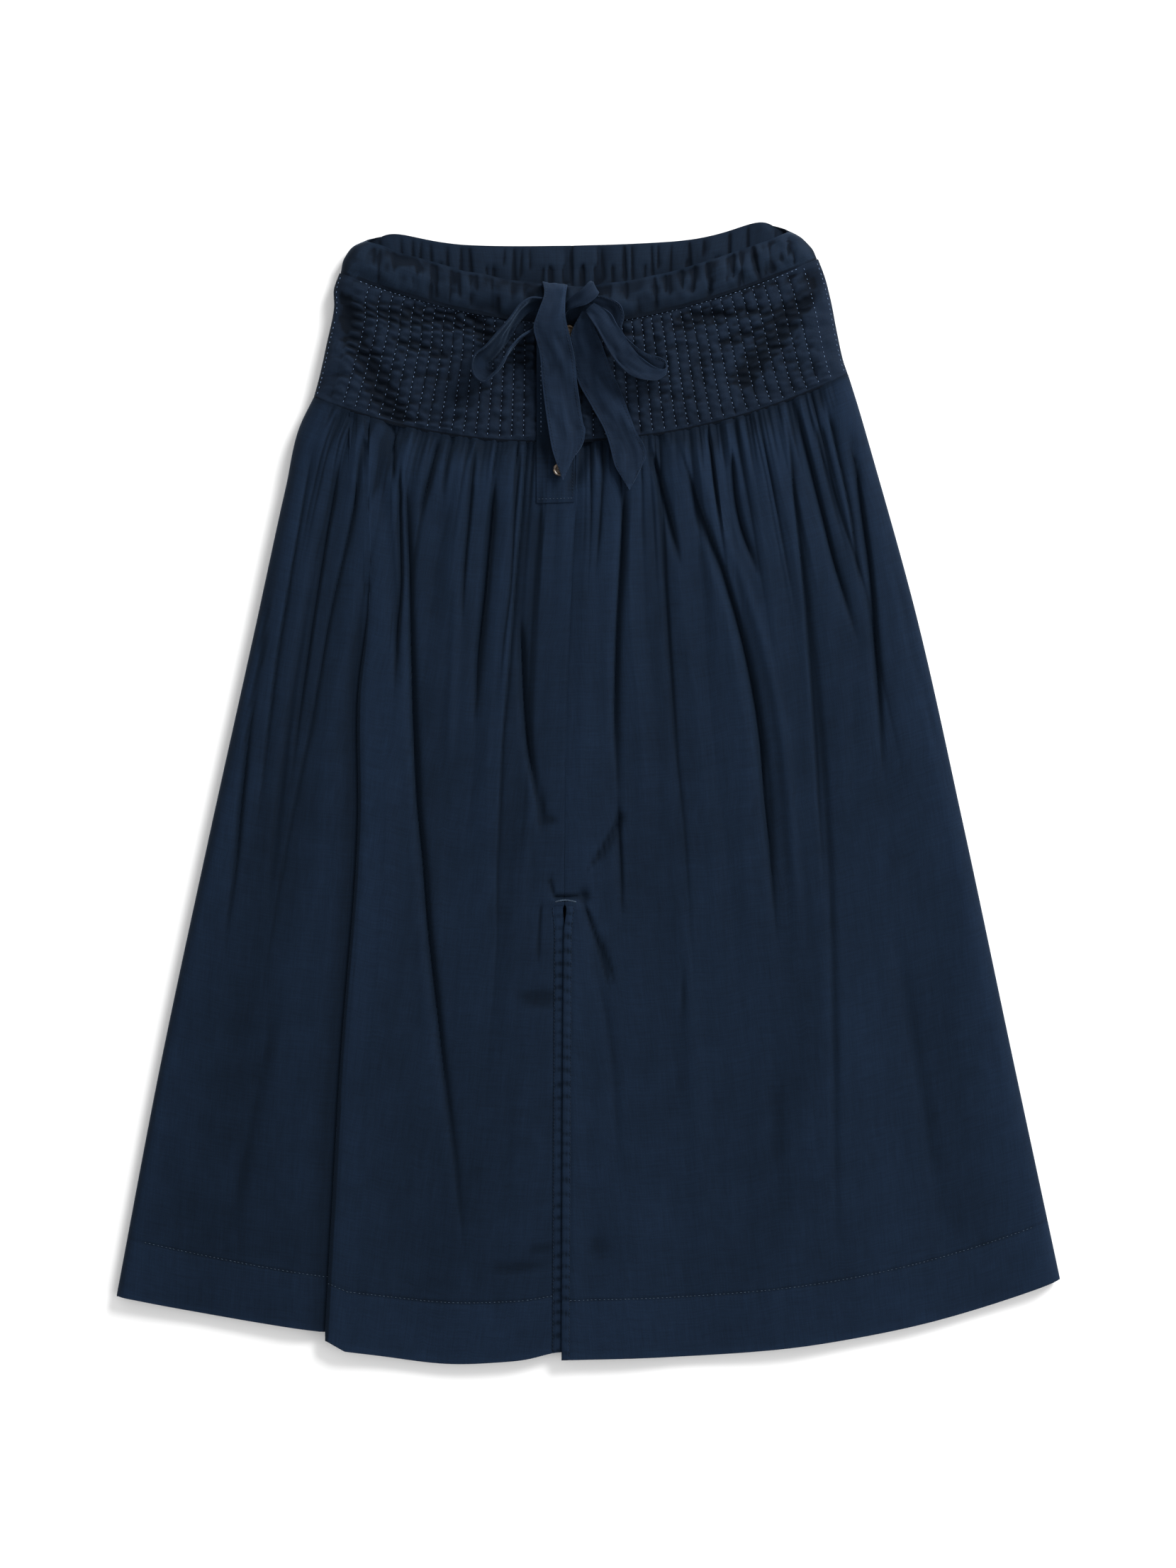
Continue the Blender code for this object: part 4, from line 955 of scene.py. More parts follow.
# The bar at the top of the slit: close upright stitches, over the seam and both fronts.
BAR_STITCHES = 34
BAR_LEFT = -24.8
BAR_PITCH = 0.47
bar = []
for k in range(BAR_STITCHES):
    x = BAR_LEFT + BAR_PITCH * k
    side = "left" if x < x_on(CENTRE_FRONT, SLIT_TOP) else "right"
    y = SLIT_TOP - 0.6 + 1.6 * math.sin(math.pi * (k + 3) / (BAR_STITCHES + 4))
    bar.append(across_cloth(front_faces[side], [(x, y - 0.9), (x, y), (x, y + 0.9)]))
level = max(points[:, 2].max() for points, _ in bar) - 0.3
for points, _ in bar:
    points[:, 2] = level
sew("slit_bar", bar, 1.8, 1.5, 0.6, faded_thread, 0.0)


# ----------------------------------------------------------------------------------------------------
# The skirt's back: one gathered panel of the same twill, joined to the fronts at the sides and to
# the yoke's back above. It lies on the surface, pressed flat by the weight of the fronts, with
# shallow folds.

SKIRT_BACK_DIPS = (14.4, 26.6)


def back_height(line, x):
    """The height of a back's outer face: flat on the surface, and turned up at the sides."""
    return line["roll"] * (1 - np.sqrt(1 - side_turn(line, x) ** 2))


def across_sides(line, columns):
    """The x of columns from side to side, closest together round the side folds."""
    reach = line["roll"] * TURN_REACH
    share = np.linspace(0, 1, columns)[None, :]
    middle = line["lx"] + reach + (line["rx"] - line["lx"] - 2 * reach) * share
    left, right = (side_columns(line, way, SIDE_COLUMNS) for way in (1, -1))
    return np.concatenate([left, middle, right[:, ::-1]], axis=1)


def back_sheet(table, alongs, columns, dips, wall, horns=(0.0, 0.0)):
    """Both faces of a back piece. Its upper edge can rise to a soft horn near each side."""
    along = alongs[:, None]
    line = cloth_line(table, along)
    x = across_sides(line, columns)
    y = line_y(line, x, dips[0] + (dips[1] - dips[0]) * along)
    share = np.linspace(-1, 1, x.shape[1])[None, :]
    y += np.where(share < 0, *horns) * 4 * abs(share) ** 6 * (1 - abs(share) ** 6) * (1 - along)
    z = back_height(line, x)
    z[:, 0] = z[:, -1] = line["roll"][:, 0]
    y[-1] -= 1.0
    outer = np.stack([x, y, z], axis=2)
    return outer, set_back(outer, wall, (1, 1, 2, 2), upward=False)


def pressed(outer, alongs, count, kind, depth, reach):
    """Shallow folds pressed into a back panel from below."""
    share = np.linspace(0, 1, outer.shape[1])[None, :]
    along = alongs[:, None]
    width = outer[:, -1:, 0] - outer[:, :1, 0]
    rise = np.zeros(outer.shape[:2])
    for k in range(count):
        at = 0.03 + 0.94 * (k + uneven(k, kind)) / count
        long = reach[0] + (reach[1] - reach[0]) * uneven(k, kind + 1) ** 2
        way = 1.0 if uneven(k, kind + 2) > 0.5 else -1.0
        fade = 1 - ease(along / long)
        rise += depth * (0.4 + uneven(k, kind + 3)) * fade * crisp((share - at) * width * way, 7.0)
    room = np.minimum(share, 1 - share) * width
    return rise * ease((room - 14.0) / 20.0)


back_alongs = np.linspace(0, 1, 100) ** 1.25
outer, inner = back_sheet(SKIRT_LINES, back_alongs, 226, SKIRT_BACK_DIPS, SKIRT_WALL)
folds = pressed(outer, back_alongs, 60, 51, 1.3, (0.08, 0.7))
folds += 0.2 * (1 + rumple(outer[..., 0], outer[..., 1], 14.0, 70.0, 57)) * ease(folds + 0.5)
outer[..., 2] += folds
inner[..., 2] += folds
back = cloth_wall("skirt_back_cloth", inner, outer, skirt_twill, 0.6 * relief(outer * (1, 1, -1)))
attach(back, "root")
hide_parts("skirt_back")


# ----------------------------------------------------------------------------------------------------
# The quilted yoke: two fronts and a back of navy cotton on a thin backing, sewn through in columns
# of light running stitches that pucker the cloth between them. It joins the band above and the
# gathered skirt below.

YOKE_LINES = (
    (0.00, -193.5, 405.5, 179.8, 416.5, 45.8, 1.75, 18.0, 8.5),
    (0.12, -197.5, 394.4, 184.5, 404.0, 45.4, 1.80, 18.0, 8.8),
    (0.30, -197.6, 379.0, 189.0, 387.0, 45.0, 1.90, 18.0, 9.0),
    (0.60, -203.6, 349.5, 194.5, 359.0, 44.2, 2.05, 18.0, 9.0),
    (0.85, -209.4, 323.5, 199.4, 337.0, 43.6, 2.15, 17.0, 8.8),
    (1.00, -213.4, 309.1, 202.8, 327.3, 43.4, 2.20, 15.5, 8.5),
)
# Dents: the two ends of each, its depth and its half width.
YOKE_DENTS = (
    (-196.0, 384.0, -150.0, 292.0, 4.2, 10.0),
    (-184.0, 376.0, -106.0, 368.0, 2.6, 8.0),
    (-100.0, 366.0, -40.0, 344.0, 1.6, 9.0),
    (72.0, 366.0, 96.0, 372.0, 2.4, 8.0),
    (182.0, 402.0, 120.0, 324.0, 4.2, 9.0),
    (150.0, 376.0, 84.0, 370.0, 2.2, 5.0),
    (168.0, 380.0, 106.0, 350.0, 2.0, 4.5),
    (-150.0, 352.0, -110.0, 342.0, 1.6, 4.5),
    (-90.0, 376.0, -76.0, 346.0, 2.6, 6.0),
    (-64.0, 336.0, -42.0, 333.0, 1.4, 5.0),
    (120.0, 392.0, 168.0, 402.0, 1.8, 7.0),
)

# The quilted channels: how many on each front, the columns to each, how far they lean at the top,
# and how high they and the puckers across them stand.
CHANNELS = {"left": 17, "right": 21}
CHANNEL_STEPS = 10
CHANNEL_LEAN = 0.07
CHANNEL_HEIGHT = 1.3
PUCKER_HEIGHT = 1.05
PUCKER_LENGTH = 8.0
YOKE_LENGTH = 112.0
YOKE_ROWS = 130
YOKE_SIDE_COLUMNS = 6
YOKE_CLOSING_COLUMNS = 13
YOKE_WALL = 1.5
YOKE_BACK_DIPS = (16.6, 14.4)


def dent_height(x, y):
    """What the dents take from the yoke's height."""
    total = np.zeros(np.broadcast(x, y).shape)
    for x1, y1, x2, y2, depth, width in YOKE_DENTS:
        length = math.hypot(x2 - x1, y2 - y1)
        t = np.clip(((x - x1) * (x2 - x1) + (y - y1) * (y2 - y1)) / length**2, 0.0, 1.0)
        away = np.hypot(x - x1 - t * (x2 - x1), y - y1 - t * (y2 - y1))
        total -= depth * np.exp(-((away / width) ** 2))
    return total


def channel_puffs(count, share, along):
    """How far the channels puff up between their seams, and how they pucker across."""
    channel = share * count
    number = np.floor(channel - 1e-6)
    crown = np.abs(np.sin(math.pi * (channel - number))) ** 0.6
    down = along * YOKE_LENGTH + 2.5 * rumple(number * 11.0, 0.0, 3.0, 1.0, 61)
    down = down + 2.0 * rumple(channel, along, 2.0, 0.1, 63)
    phase = 2 * math.pi * (down / PUCKER_LENGTH + 0.5 * (number % 2))
    return np.broadcast_to(CHANNEL_HEIGHT * crown, phase.shape), crown * np.cos(phase)


def yoke_front(side):
    """The outer face of one yoke front, the columns that its seams follow, and the shade painted into its
    dents.
    """
    left = side == "left"
    alongs = np.linspace(0, 1, YOKE_ROWS)
    along = alongs[:, None]
    line = cloth_line(YOKE_LINES, along)
    centre = x_on(CENTRE_FRONT, 300.0)
    way = 1 if left else -1
    inner = (line["lx"] if left else line["rx"]) + way * line["roll"] * TURN_REACH
    start = PLACKET_LEFT - 1.0 if left else centre + 4.0
    share = np.linspace(0, 1, CHANNELS[side] * CHANNEL_STEPS + 1)[None, :]
    lean = CHANNEL_LEAN * (1 - along) * np.sin(math.pi * share) ** 0.5
    quilted = inner + (start - inner) * np.minimum(share + lean * (1 - share), 1.0)
    closing = centre - (centre - start) * np.linspace(1, 0, YOKE_CLOSING_COLUMNS + 1)[None, 1:]
    closing = np.broadcast_to(closing, (YOKE_ROWS, YOKE_CLOSING_COLUMNS))
    x = np.concatenate([side_columns(line, way, YOKE_SIDE_COLUMNS), quilted, closing], axis=1)
    plain = ((0, 0), (YOKE_SIDE_COLUMNS, YOKE_CLOSING_COLUMNS))
    puff, pucker = (np.pad(part, plain) for part in channel_puffs(CHANNELS[side], share, along))
    if not left:
        x, puff, pucker = x[:, ::-1], puff[:, ::-1], pucker[:, ::-1]
    y = line_y(line, x)
    calm = ease(side_room(line, x) / 10.0) * ease(np.minimum(along, 1 - along) / 0.05)
    dents = dent_height(x, y)
    amount = 0.22 + 0.38 * rumple(x, y, 34.0, 26.0, 67) + 0.75 * np.clip(-dents / 2.0, 0, 1)
    puckers = PUCKER_HEIGHT * np.clip(amount, 0.05, 1.4) * pucker
    crumples = 1.1 * rumple(x, y, 17.0, 5.5, 71) + 0.7 * rumple(x, y, 6.0, 3.5, 73)
    z = front_height(line, x) + (puff + puckers + dents + crumples) * calm
    if left:
        # The left front steps down under the placket.
        z -= 1.2 * ease((x - PLACKET_LEFT + 1.5) / 1.5)
    z[:, 0 if left else -1] = line["roll"][:, 0]
    face = np.stack([x, y, z], axis=2)
    face[-1] += (0.0, -1.2, -0.5)
    seams = YOKE_SIDE_COLUMNS + np.arange(CHANNELS[side] + 1) * CHANNEL_STEPS
    seams = seams if left else face.shape[1] - 1 - seams
    # Painted shade darkens the dents.
    shade = 1.3 * np.clip((dents + 0.5) / 2.5, -1.0, 0.0) * ease(side_room(line, x) / 10.0)
    return face, seams, shade


def down_yoke(face, column):
    """A run of stitches down one column of the yoke."""
    return on_cloth(face, np.linspace(2.0, YOKE_ROWS - 4.0, 160), column)


def columns_in(face):
    """How many columns each one lies in from the nearer side."""
    count = face.shape[1]
    return np.minimum(np.arange(count), np.arange(count)[::-1])[None, :]


yoke_twill = cloth_material("yoke_twill", (0.0005, 0.0020, 0.0050), (0.0050, 0.0103, 0.0213))
light_thread = thread_material("light_thread", (0.150, 0.225, 0.370))
yoke_runs = []
down = np.linspace(0, 1, YOKE_ROWS)[:, None]
# Painted light makes the rolled edge above the skirt seam paler, and painted shade darkens the seam itself
# and the yoke's top under the band.
rim_light_and_shade = 0.7 * ease((down - 0.95) / 0.02) - 2.4 * ease((down - 0.985) / 0.012) - 0.8 * (1 - ease(down / 0.02))
for side, ends in (("left", (1, 1, 2, 0)), ("right", (1, 1, 0, 2))):
    face, seams, shade = yoke_front(side)
    wear_and_shade = 1.2 * relief(face, (5, 5), 0.8) + shade + 0.55 + rim_light_and_shade
    inside = set_back(face, YOKE_WALL, ends)
    front = cloth_wall(f"yoke_front_{side}_cloth", face, inside, yoke_twill, wear_and_shade)
    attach(front, "root")
    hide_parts(f"yoke_front_{side}")
    # The last seam, at the centre front, shows no stitches, and neither does the left front's first.
    yoke_runs += [down_yoke(face, column) for column in (seams[1:-1] if side == "left" else seams[:-1])]
    yoke_runs.append(down_yoke(face, 2.4 if side == "left" else face.shape[1] - 3.4))
    yoke_runs.append(on_cloth(face, 1.6, np.linspace(8.0, face.shape[1] - 9.0, 300)))
sew("yoke_stitches", yoke_runs, 3.9, 1.7, 0.50, light_thread, 0.0, skip=0.06)

yoke_alongs = np.linspace(0, 1, 50)
outer, inner = back_sheet(YOKE_LINES, yoke_alongs, 214, YOKE_BACK_DIPS, YOKE_WALL)
ribs = np.abs(np.sin(math.pi * np.linspace(0, sum(CHANNELS.values()), outer.shape[1])))[None, :] ** 0.6
rise = 0.8 * (1 - ribs) * ease((columns_in(outer) - 10) / 12.0)
rise = rise * ease(np.minimum(yoke_alongs, 1 - yoke_alongs)[:, None] / 0.05)
outer[..., 2] += rise
inner[..., 2] += rise * 0.5
# The back's colour is paler on the channels' crowns and carries painted shade along their seams.
back = cloth_wall("yoke_back_cloth", inner, outer, yoke_twill, np.broadcast_to(ribs - 0.5, rise.shape))
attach(back, "root")
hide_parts("yoke_back")


# ----------------------------------------------------------------------------------------------------
# The band: a casing of navy cotton folded over its drawstring, in a front and a back joined at the
# sides. The string draws it up, so it crumples in short upright gathers between its lower stitching
# and its rolled top.

BAND_LINES = (
    (0.00, -173.3, 430.5, 156.8, 437.5, 40.4, 1.65, 21.0, 8.0),
    (0.22, -182.6, 426.6, 165.6, 433.8, 41.6, 1.68, 21.5, 8.3),
    (0.50, -189.0, 418.6, 173.4, 426.8, 43.0, 1.70, 21.5, 8.5),
    (1.00, -192.5, 405.9, 178.8, 416.9, 45.8, 1.75, 19.5, 8.5),
)
BAND_ROWS = 34
BAND_COLUMNS = 330
BAND_WALL = 1.8
BAND_BACK_DIPS = (5.5, 16.6)
BAND_BACK_HORNS = (8.0, 11.0)
BAND_GATHERS = 46


def band_gathers(x, along, kind, spread, wides=(3.0, 7.0)):
    """Short upright gathers and crumples of the casing, closest where the string draws it up most."""
    pinch = np.zeros(np.broadcast(x, along).shape)
    for k in range(BAND_GATHERS):
        at = -180.0 + 360.0 * (k + 0.9 * uneven(k, kind)) / BAND_GATHERS
        drawn = 0.42 + 0.6 * math.exp(-(((at - spread[0]) / spread[1]) ** 2))
        low = 0.35 + 0.65 * uneven(k, kind + 1)
        start = 0.0 if uneven(k, kind + 2) > 0.4 else 0.45
        fade = ease((along - start) / 0.2 + 0.3) * ease((start + low + 0.15 - along) / 0.25)
        way = 1.0 if uneven(k, kind + 3) > 0.5 else -1.0
        lean = 5.0 * (uneven(k, kind + 4) - 0.5) * (along - 0.5)
        depth = drawn * (0.9 + 2.6 * uneven(k, kind + 5))
        wide = wides[0] + (wides[1] - wides[0]) * uneven(k, kind + 6)
        pinch -= depth * fade * crisp((x - at - lean) * way, wide)
    return np.maximum(pinch, -3.2)


def band_front(along):
    """The outer face of the band's front: rows from its rolled top to the yoke seam."""
    line = cloth_line(BAND_LINES, along)
    x = across_sides(line, BAND_COLUMNS)
    y = line_y(line, x)
    calm = ease(side_room(line, x) / 14.0)
    swell = np.sin(math.pi * along) ** 0.6
    corner = np.exp(-(((x - 160.0) / 22.0) ** 2))
    pinched = 3.0 * crisp(x - 128.0 - 6.0 * along, 5.0) + 2.0 * crisp(118.0 + 3.0 * along - x, 4.0)
    puff = 2.0 * swell - pinched + 1.8 * rumple(x, y, 15.0, 14.0, 81)
    puff += (0.9 + 1.2 * corner) * rumple(x, y, 6.5, 8.0, 83)
    gathers = band_gathers(x, along, 85, (100.0, 60.0)) * ease(swell + 0.2)
    rolled_top = 0.6 * rumple(x, 0.0, 18.0, 10.0, 87) * (1 - along)
    z = front_height(line, x) + (puff * swell + gathers + rolled_top) * calm
    z[:, 0] = z[:, -1] = line["roll"][:, 0]
    y[-1] -= 1.0
    y += 0.9 * rumple(x, 0.0, 16.0, 10.0, 89) * calm * (1 - along) ** 2
    return np.stack([x, y, z], axis=2)


band_cotton = cloth_material("band_cotton", (0.0007, 0.0028, 0.0070), (0.0052, 0.0114, 0.0234))
band_alongs = np.linspace(0, 1, BAND_ROWS)
down = band_alongs[:, None]
face = band_front(down)
# Painted light makes the band's rolled top paler, and painted shade darkens it along the yoke seam.
wear_and_shade = 1.8 * relief(face, (4, 5), 0.8) + 1.3 * (1 - ease(down / 0.16)) - 1.8 * ease((down - 0.94) / 0.05)
front = cloth_wall("band_front_cloth", face, set_back(face, BAND_WALL, (1, 1, 2, 2)), band_cotton, wear_and_shade)
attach(front, "root")
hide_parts("band_front")

outer, inner = back_sheet(BAND_LINES, band_alongs, BAND_COLUMNS, BAND_BACK_DIPS, BAND_WALL, BAND_BACK_HORNS)
x, y = inner[..., 0], inner[..., 1]
swell = np.sin(math.pi * down) ** 0.6
rise = 1.0 + 0.8 * swell + 0.6 * rumple(x, y, 14.0, 20.0, 91)
rise += np.maximum(1.3 * band_gathers(x, down, 93, (-8.0, 50.0), (1.8, 4.0)), -2.0) * swell
# The seam at the centre back draws in.
rise -= 0.8 * np.exp(-(((x + 12.0) / 1.2) ** 2))
inner[..., 2] += rise * ease((columns_in(inner) - 8) / 12.0)
# Painted shade darkens the back's inside towards its lower edge, under the front band's top.
wear_and_shade = 1.8 * relief(inner, (4, 5), 0.8) + 1.2 - 1.3 * down
back = cloth_wall("band_back_cloth", inner, outer, band_cotton, wear_and_shade)
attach(back, "root")
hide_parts("band_back")


# ----------------------------------------------------------------------------------------------------
# The placket: a strip of the yoke's cotton, turned in at its edges and sewn down over the left
# front. It runs from the band over the yoke's seam to a bar of stitching on the skirt.

PLACKET_WALL = 1.0
PLACKET_ROWS = {"yoke": 36, "skirt": 26}
PLACKET_COLUMNS = 44


def placket_face():
    """The placket's outer face, laid over the yoke front and then over the folds of the skirt front."""
    x = np.linspace(PLACKET_LEFT, PLACKET_RIGHT, PLACKET_COLUMNS)
    rows = []
    for along in np.linspace(0.03, 0.985, PLACKET_ROWS["yoke"]):
        line = cloth_line(YOKE_LINES, along)
        y = line_y(line, x)
        z = front_height(line, x) + 1.3 + 0.35 * rumple(x, y, 9.0, 17.0, 101)
        rows.append(np.stack([x, y, z], axis=1))
    for along in np.linspace(0.004, PLACKET_BOTTOM, PLACKET_ROWS["skirt"]):
        y = line_y(cloth_line(SKIRT_LINES, along), x)
        places = np.column_stack([np.minimum(x, PLACKET_RIGHT - 1.5), y])
        z = across_cloth(front_faces["left"], places)[0][:, 2] + 1.0 + 0.25 * rumple(x, y, 9.0, 12.0, 103)
        rows.append(np.stack([x, y, z], axis=1))
    face = np.array(rows)
    face[..., 2] = 0.3 * face[..., 2] + 0.7 * blurred(face[..., 2], (3, 2))
    return face


face = placket_face()
inside = set_back(face, PLACKET_WALL, (1, 1, 0, 0))
placket_cloth = cloth_wall("placket_cloth", face, inside, skirt_twill, relief(face, (3, 3), 0.6))
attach(placket_cloth, "root")
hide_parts("placket")
rows, columns = face.shape[:2]
bottom_run = on_cloth(face, rows - 2.6, np.linspace(1.0, columns - 2.0, 60))
edge_run = on_cloth(face, np.linspace(2.0, rows - 3.0, 160), columns - 2.8)
yoke_run = on_cloth(face, np.linspace(2.0, 33.0, 160), 5.0)
sew("placket_stitches", [bottom_run], 2.6, 1.4, 0.45, faded_thread, 0.05)
sew("placket_edge_stitches", [edge_run], 2.6, 1.7, 0.45, navy_thread, 0.0)
sew("placket_column_stitches", [yoke_run], 3.5, 1.6, 0.46, light_thread, 0.0)


# ----------------------------------------------------------------------------------------------------
# The buttons: two small discs of brown horn with a paler rim and a dished face with four holes,
# turned from one piece and sewn to the placket.

BUTTON_RADIUS = 5.0
BUTTON_THICKNESS = 2.4
# Half a section through the button from the dished middle round the rim to the underside, as shares
# of its size.
BUTTON_PROFILE = (
    (0.0, 0.5),
    (0.42, 0.52),
    (0.6, 0.68),
    (0.72, 0.95),
    (0.86, 1.0),
    (0.97, 0.8),
    (1.0, 0.5),
    (0.94, 0.15),
    (0.8, 0.0),
    (0.0, 0.0),
)
HOLE_CIRCLE = 1.15


def horn_material():
    """Polished horn with drawn-out veins."""
    material, tree, shader = new_material("brown_horn")
    shader["Coat Weight"].default_value = 0.35
    shader["Coat Roughness"].default_value = 0.15
    source = tree.nodes.new("ShaderNodeTexCoord").outputs["Object"]
    veins = noise(tree, source, 180.0, 4.0, 0.6, stretch=(1.0, 3.0, 1.0), turn=0.6)
    tones = two_tones(tree, veins, ((0.32, (0.012, 0.007, 0.004)), (0.72, (0.150, 0.105, 0.066))))
    tree.links.new(tones, shader["Base Color"])
    tree.links.new(maths(tree, "MULTIPLY_ADD", veins, 0.25, 0.2), shader["Roughness"])
    tree.links.new(bumped(tree, veins, 0.00005), shader["Normal"])
    return material


def make_button(name, node, place):
    """One button, its underside at the place."""
    disc = bmesh.new()
    points = [disc.verts.new((r * BUTTON_RADIUS, 0.0, h * BUTTON_THICKNESS)) for r, h in BUTTON_PROFILE]
    section = points + [disc.edges.new(pair) for pair in zip(points, points[1:])]
    turn = {"axis": (0, 0, 1), "cent": (0, 0, 0), "steps": 36, "angle": 2 * math.pi}
    bmesh.ops.spin(disc, geom=section, use_merge=True, **turn)
    bmesh.ops.remove_doubles(disc, verts=disc.verts[:], dist=0.001)
    bmesh.ops.recalc_face_normals(disc, faces=disc.faces[:])
    for k in range(4):
        angle = math.pi / 4 + k * math.pi / 2
        middle = (HOLE_CIRCLE * math.cos(angle), HOLE_CIRCLE * math.sin(angle), 0.52 * BUTTON_THICKNESS)
        hole = {"segments": 12, "radius1": 0.42, "radius2": 0.36, "depth": 0.1}
        bmesh.ops.create_cone(disc, cap_ends=True, matrix=Matrix.Translation(middle), **hole)
    bmesh.ops.scale(disc, verts=disc.verts[:], vec=(0.001, 0.001, 0.001))
    bmesh.ops.translate(disc, verts=disc.verts[:], vec=[0.001 * c for c in place])
    button = piece_of(name, disc, horn)
    button.data.shade_smooth()
    button.data.set_sharp_from_angle(angle=math.radians(45.0))
    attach(button, "root")
    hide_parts(node)


horn = horn_material()
make_button("button_low_horn", "button_low", (-21.7, 250.8, 25.8))
make_button("button_top_horn", "button_top", (-15.0, 358.5, 20.2))


# ----------------------------------------------------------------------------------------------------
# The tie: a flat tube of lighter navy twill 25 mm wide that comes out of the casing at the centre
# front and is tied in a bow. Its loops stand off the yoke, and its two tails hang down over the
# placket with slanting points.

TIE_COLUMNS = 21

# Each row is a section across the tie: x, y and z of one edge, then of the other.
TAIL_LEFT = (
    (-35.0, 394.5, 20.5, -15.8, 392.0, 20.5),
    (-34.8, 396.6, 26.5, -15.6, 393.8, 26.5),
    (-33.6, 392.0, 32.0, -16.0, 390.0, 32.0),
    (-33.4, 384.5, 35.5, -17.0, 382.0, 35.5),
    (-36.2, 376.0, 38.5, -17.2, 375.5, 38.5),
    (-40.8, 363.0, 39.5, -16.8, 366.0, 40.5),
    (-41.3, 357.0, 38.5, -14.2, 354.0, 39.5),
    (-37.2, 341.3, 35.0, -9.9, 334.5, 36.0),
    (-35.1, 318.6, 30.0, -7.4, 310.0, 30.5),
    (-31.4, 289.6, 27.6, -3.4, 287.0, 28.2),
    (-27.3, 266.0, 28.4, -2.0, 277.2, 28.8),
    (-26.9, 264.6, 28.5, -2.4, 274.8, 28.8),
    (-23.0, 253.0, 29.6, -11.2, 258.5, 29.4),
    (-19.4, 242.4, 30.4, -18.8, 242.6, 30.4),
)
TAIL_RIGHT = (
    (-4.5, 373.0, 27.0, 2.0, 375.0, 29.0),
    (-10.0, 363.0, 27.0, 2.5, 368.0, 30.5),
    (-13.0, 355.0, 26.0, 5.0, 361.0, 29.5),
    (-12.0, 342.0, 24.6, 10.5, 349.0, 27.2),
    (-8.0, 321.5, 23.6, 17.0, 331.6, 25.0),
    (3.4, 299.9, 24.2, 27.4, 307.3, 24.4),
    (13.5, 280.9, 25.0, 36.2, 284.0, 25.6),
    (20.2, 257.4, 25.8, 45.0, 260.4, 26.6),
    (20.8, 255.2, 25.9, 44.4, 258.6, 26.7),
    (26.6, 244.4, 26.6, 38.8, 247.6, 27.0),
    (32.2, 235.0, 27.0, 32.9, 235.2, 27.0),
)
LOOP_LEFT = (
    (-34.0, 381.8, 34.0, -35.0, 374.0, 27.0),
    (-43.3, 381.6, 38.5, -44.5, 372.5, 25.5),
    (-50.2, 377.0, 41.5, -52.5, 365.0, 24.5),
    (-59.8, 364.5, 43.5, -59.5, 353.2, 23.8),
    (-70.0, 352.9, 43.8, -67.4, 342.4, 23.4),
    (-79.5, 342.4, 43.0, -73.8, 335.0, 23.4),
    (-86.6, 336.8, 42.0, -76.2, 332.6, 24.0),
    (-88.8, 330.0, 40.0, -76.4, 330.8, 25.0),
    (-86.6, 321.6, 38.6, -75.0, 329.4, 25.6),
    (-80.8, 317.4, 38.0, -72.4, 329.6, 25.8),
    (-74.6, 321.8, 39.4, -69.0, 332.4, 25.6),
    (-66.8, 332.0, 41.0, -63.6, 338.4, 25.2),
    (-59.6, 343.6, 41.2, -57.0, 347.6, 24.6),
    (-52.8, 351.2, 39.0, -50.5, 355.6, 24.2),
    (-43.0, 357.6, 35.5, -42.5, 362.4, 24.4),
    (-36.0, 361.5, 32.0, -35.6, 367.0, 25.4),
)
LOOP_RIGHT = (
    (-1.0, 372.5, 31.0, 5.0, 378.5, 32.5),
    (1.2, 367.5, 34.0, 17.0, 371.2, 35.5),
    (7.2, 357.6, 37.0, 22.9, 361.0, 38.0),
    (15.6, 342.0, 39.2, 29.4, 350.6, 39.0),
    (22.3, 331.4, 39.8, 35.6, 341.2, 39.0),
    (32.4, 322.6, 39.6, 43.4, 334.4, 38.4),
    (44.5, 318.6, 38.2, 51.6, 329.0, 37.0),
    (53.8, 318.8, 35.4, 57.4, 327.4, 34.4),
    (59.6, 323.0, 31.0, 60.6, 329.6, 31.0),
    (59.0, 324.4, 27.4, 60.2, 333.6, 29.2),
    (49.5, 322.4, 25.4, 55.4, 337.0, 30.4),
    (38.0, 326.4, 24.8, 47.4, 339.4, 31.2),
    (26.0, 338.0, 24.6, 35.4, 346.6, 31.6),
    (15.0, 352.0, 25.2, 26.2, 358.6, 32.0),
    (13.0, 362.0, 27.2, 28.0, 369.0, 33.0),
    (11.0, 371.0, 28.8, 24.4, 377.6, 34.0),
    (5.0, 376.0, 30.2, 12.0, 383.6, 34.0),
    (-1.0, 378.0, 30.6, 4.0, 384.0, 33.0),
)
KNOT = (
    (-20.0, 375.0, 27.0, -19.0, 369.0, 26.0),
    (-15.6, 380.2, 33.5, -15.0, 373.0, 32.5),
    (-9.0, 385.4, 37.5, -8.0, 375.0, 36.0),
    (-2.9, 390.0, 39.0, -0.5, 377.0, 37.5),
    (1.0, 394.4, 36.5, 6.0, 382.0, 35.5),
    (3.0, 395.8, 31.5, 8.4, 386.0, 31.0),
    (4.4, 394.0, 26.0, 9.0, 388.0, 26.0),
)


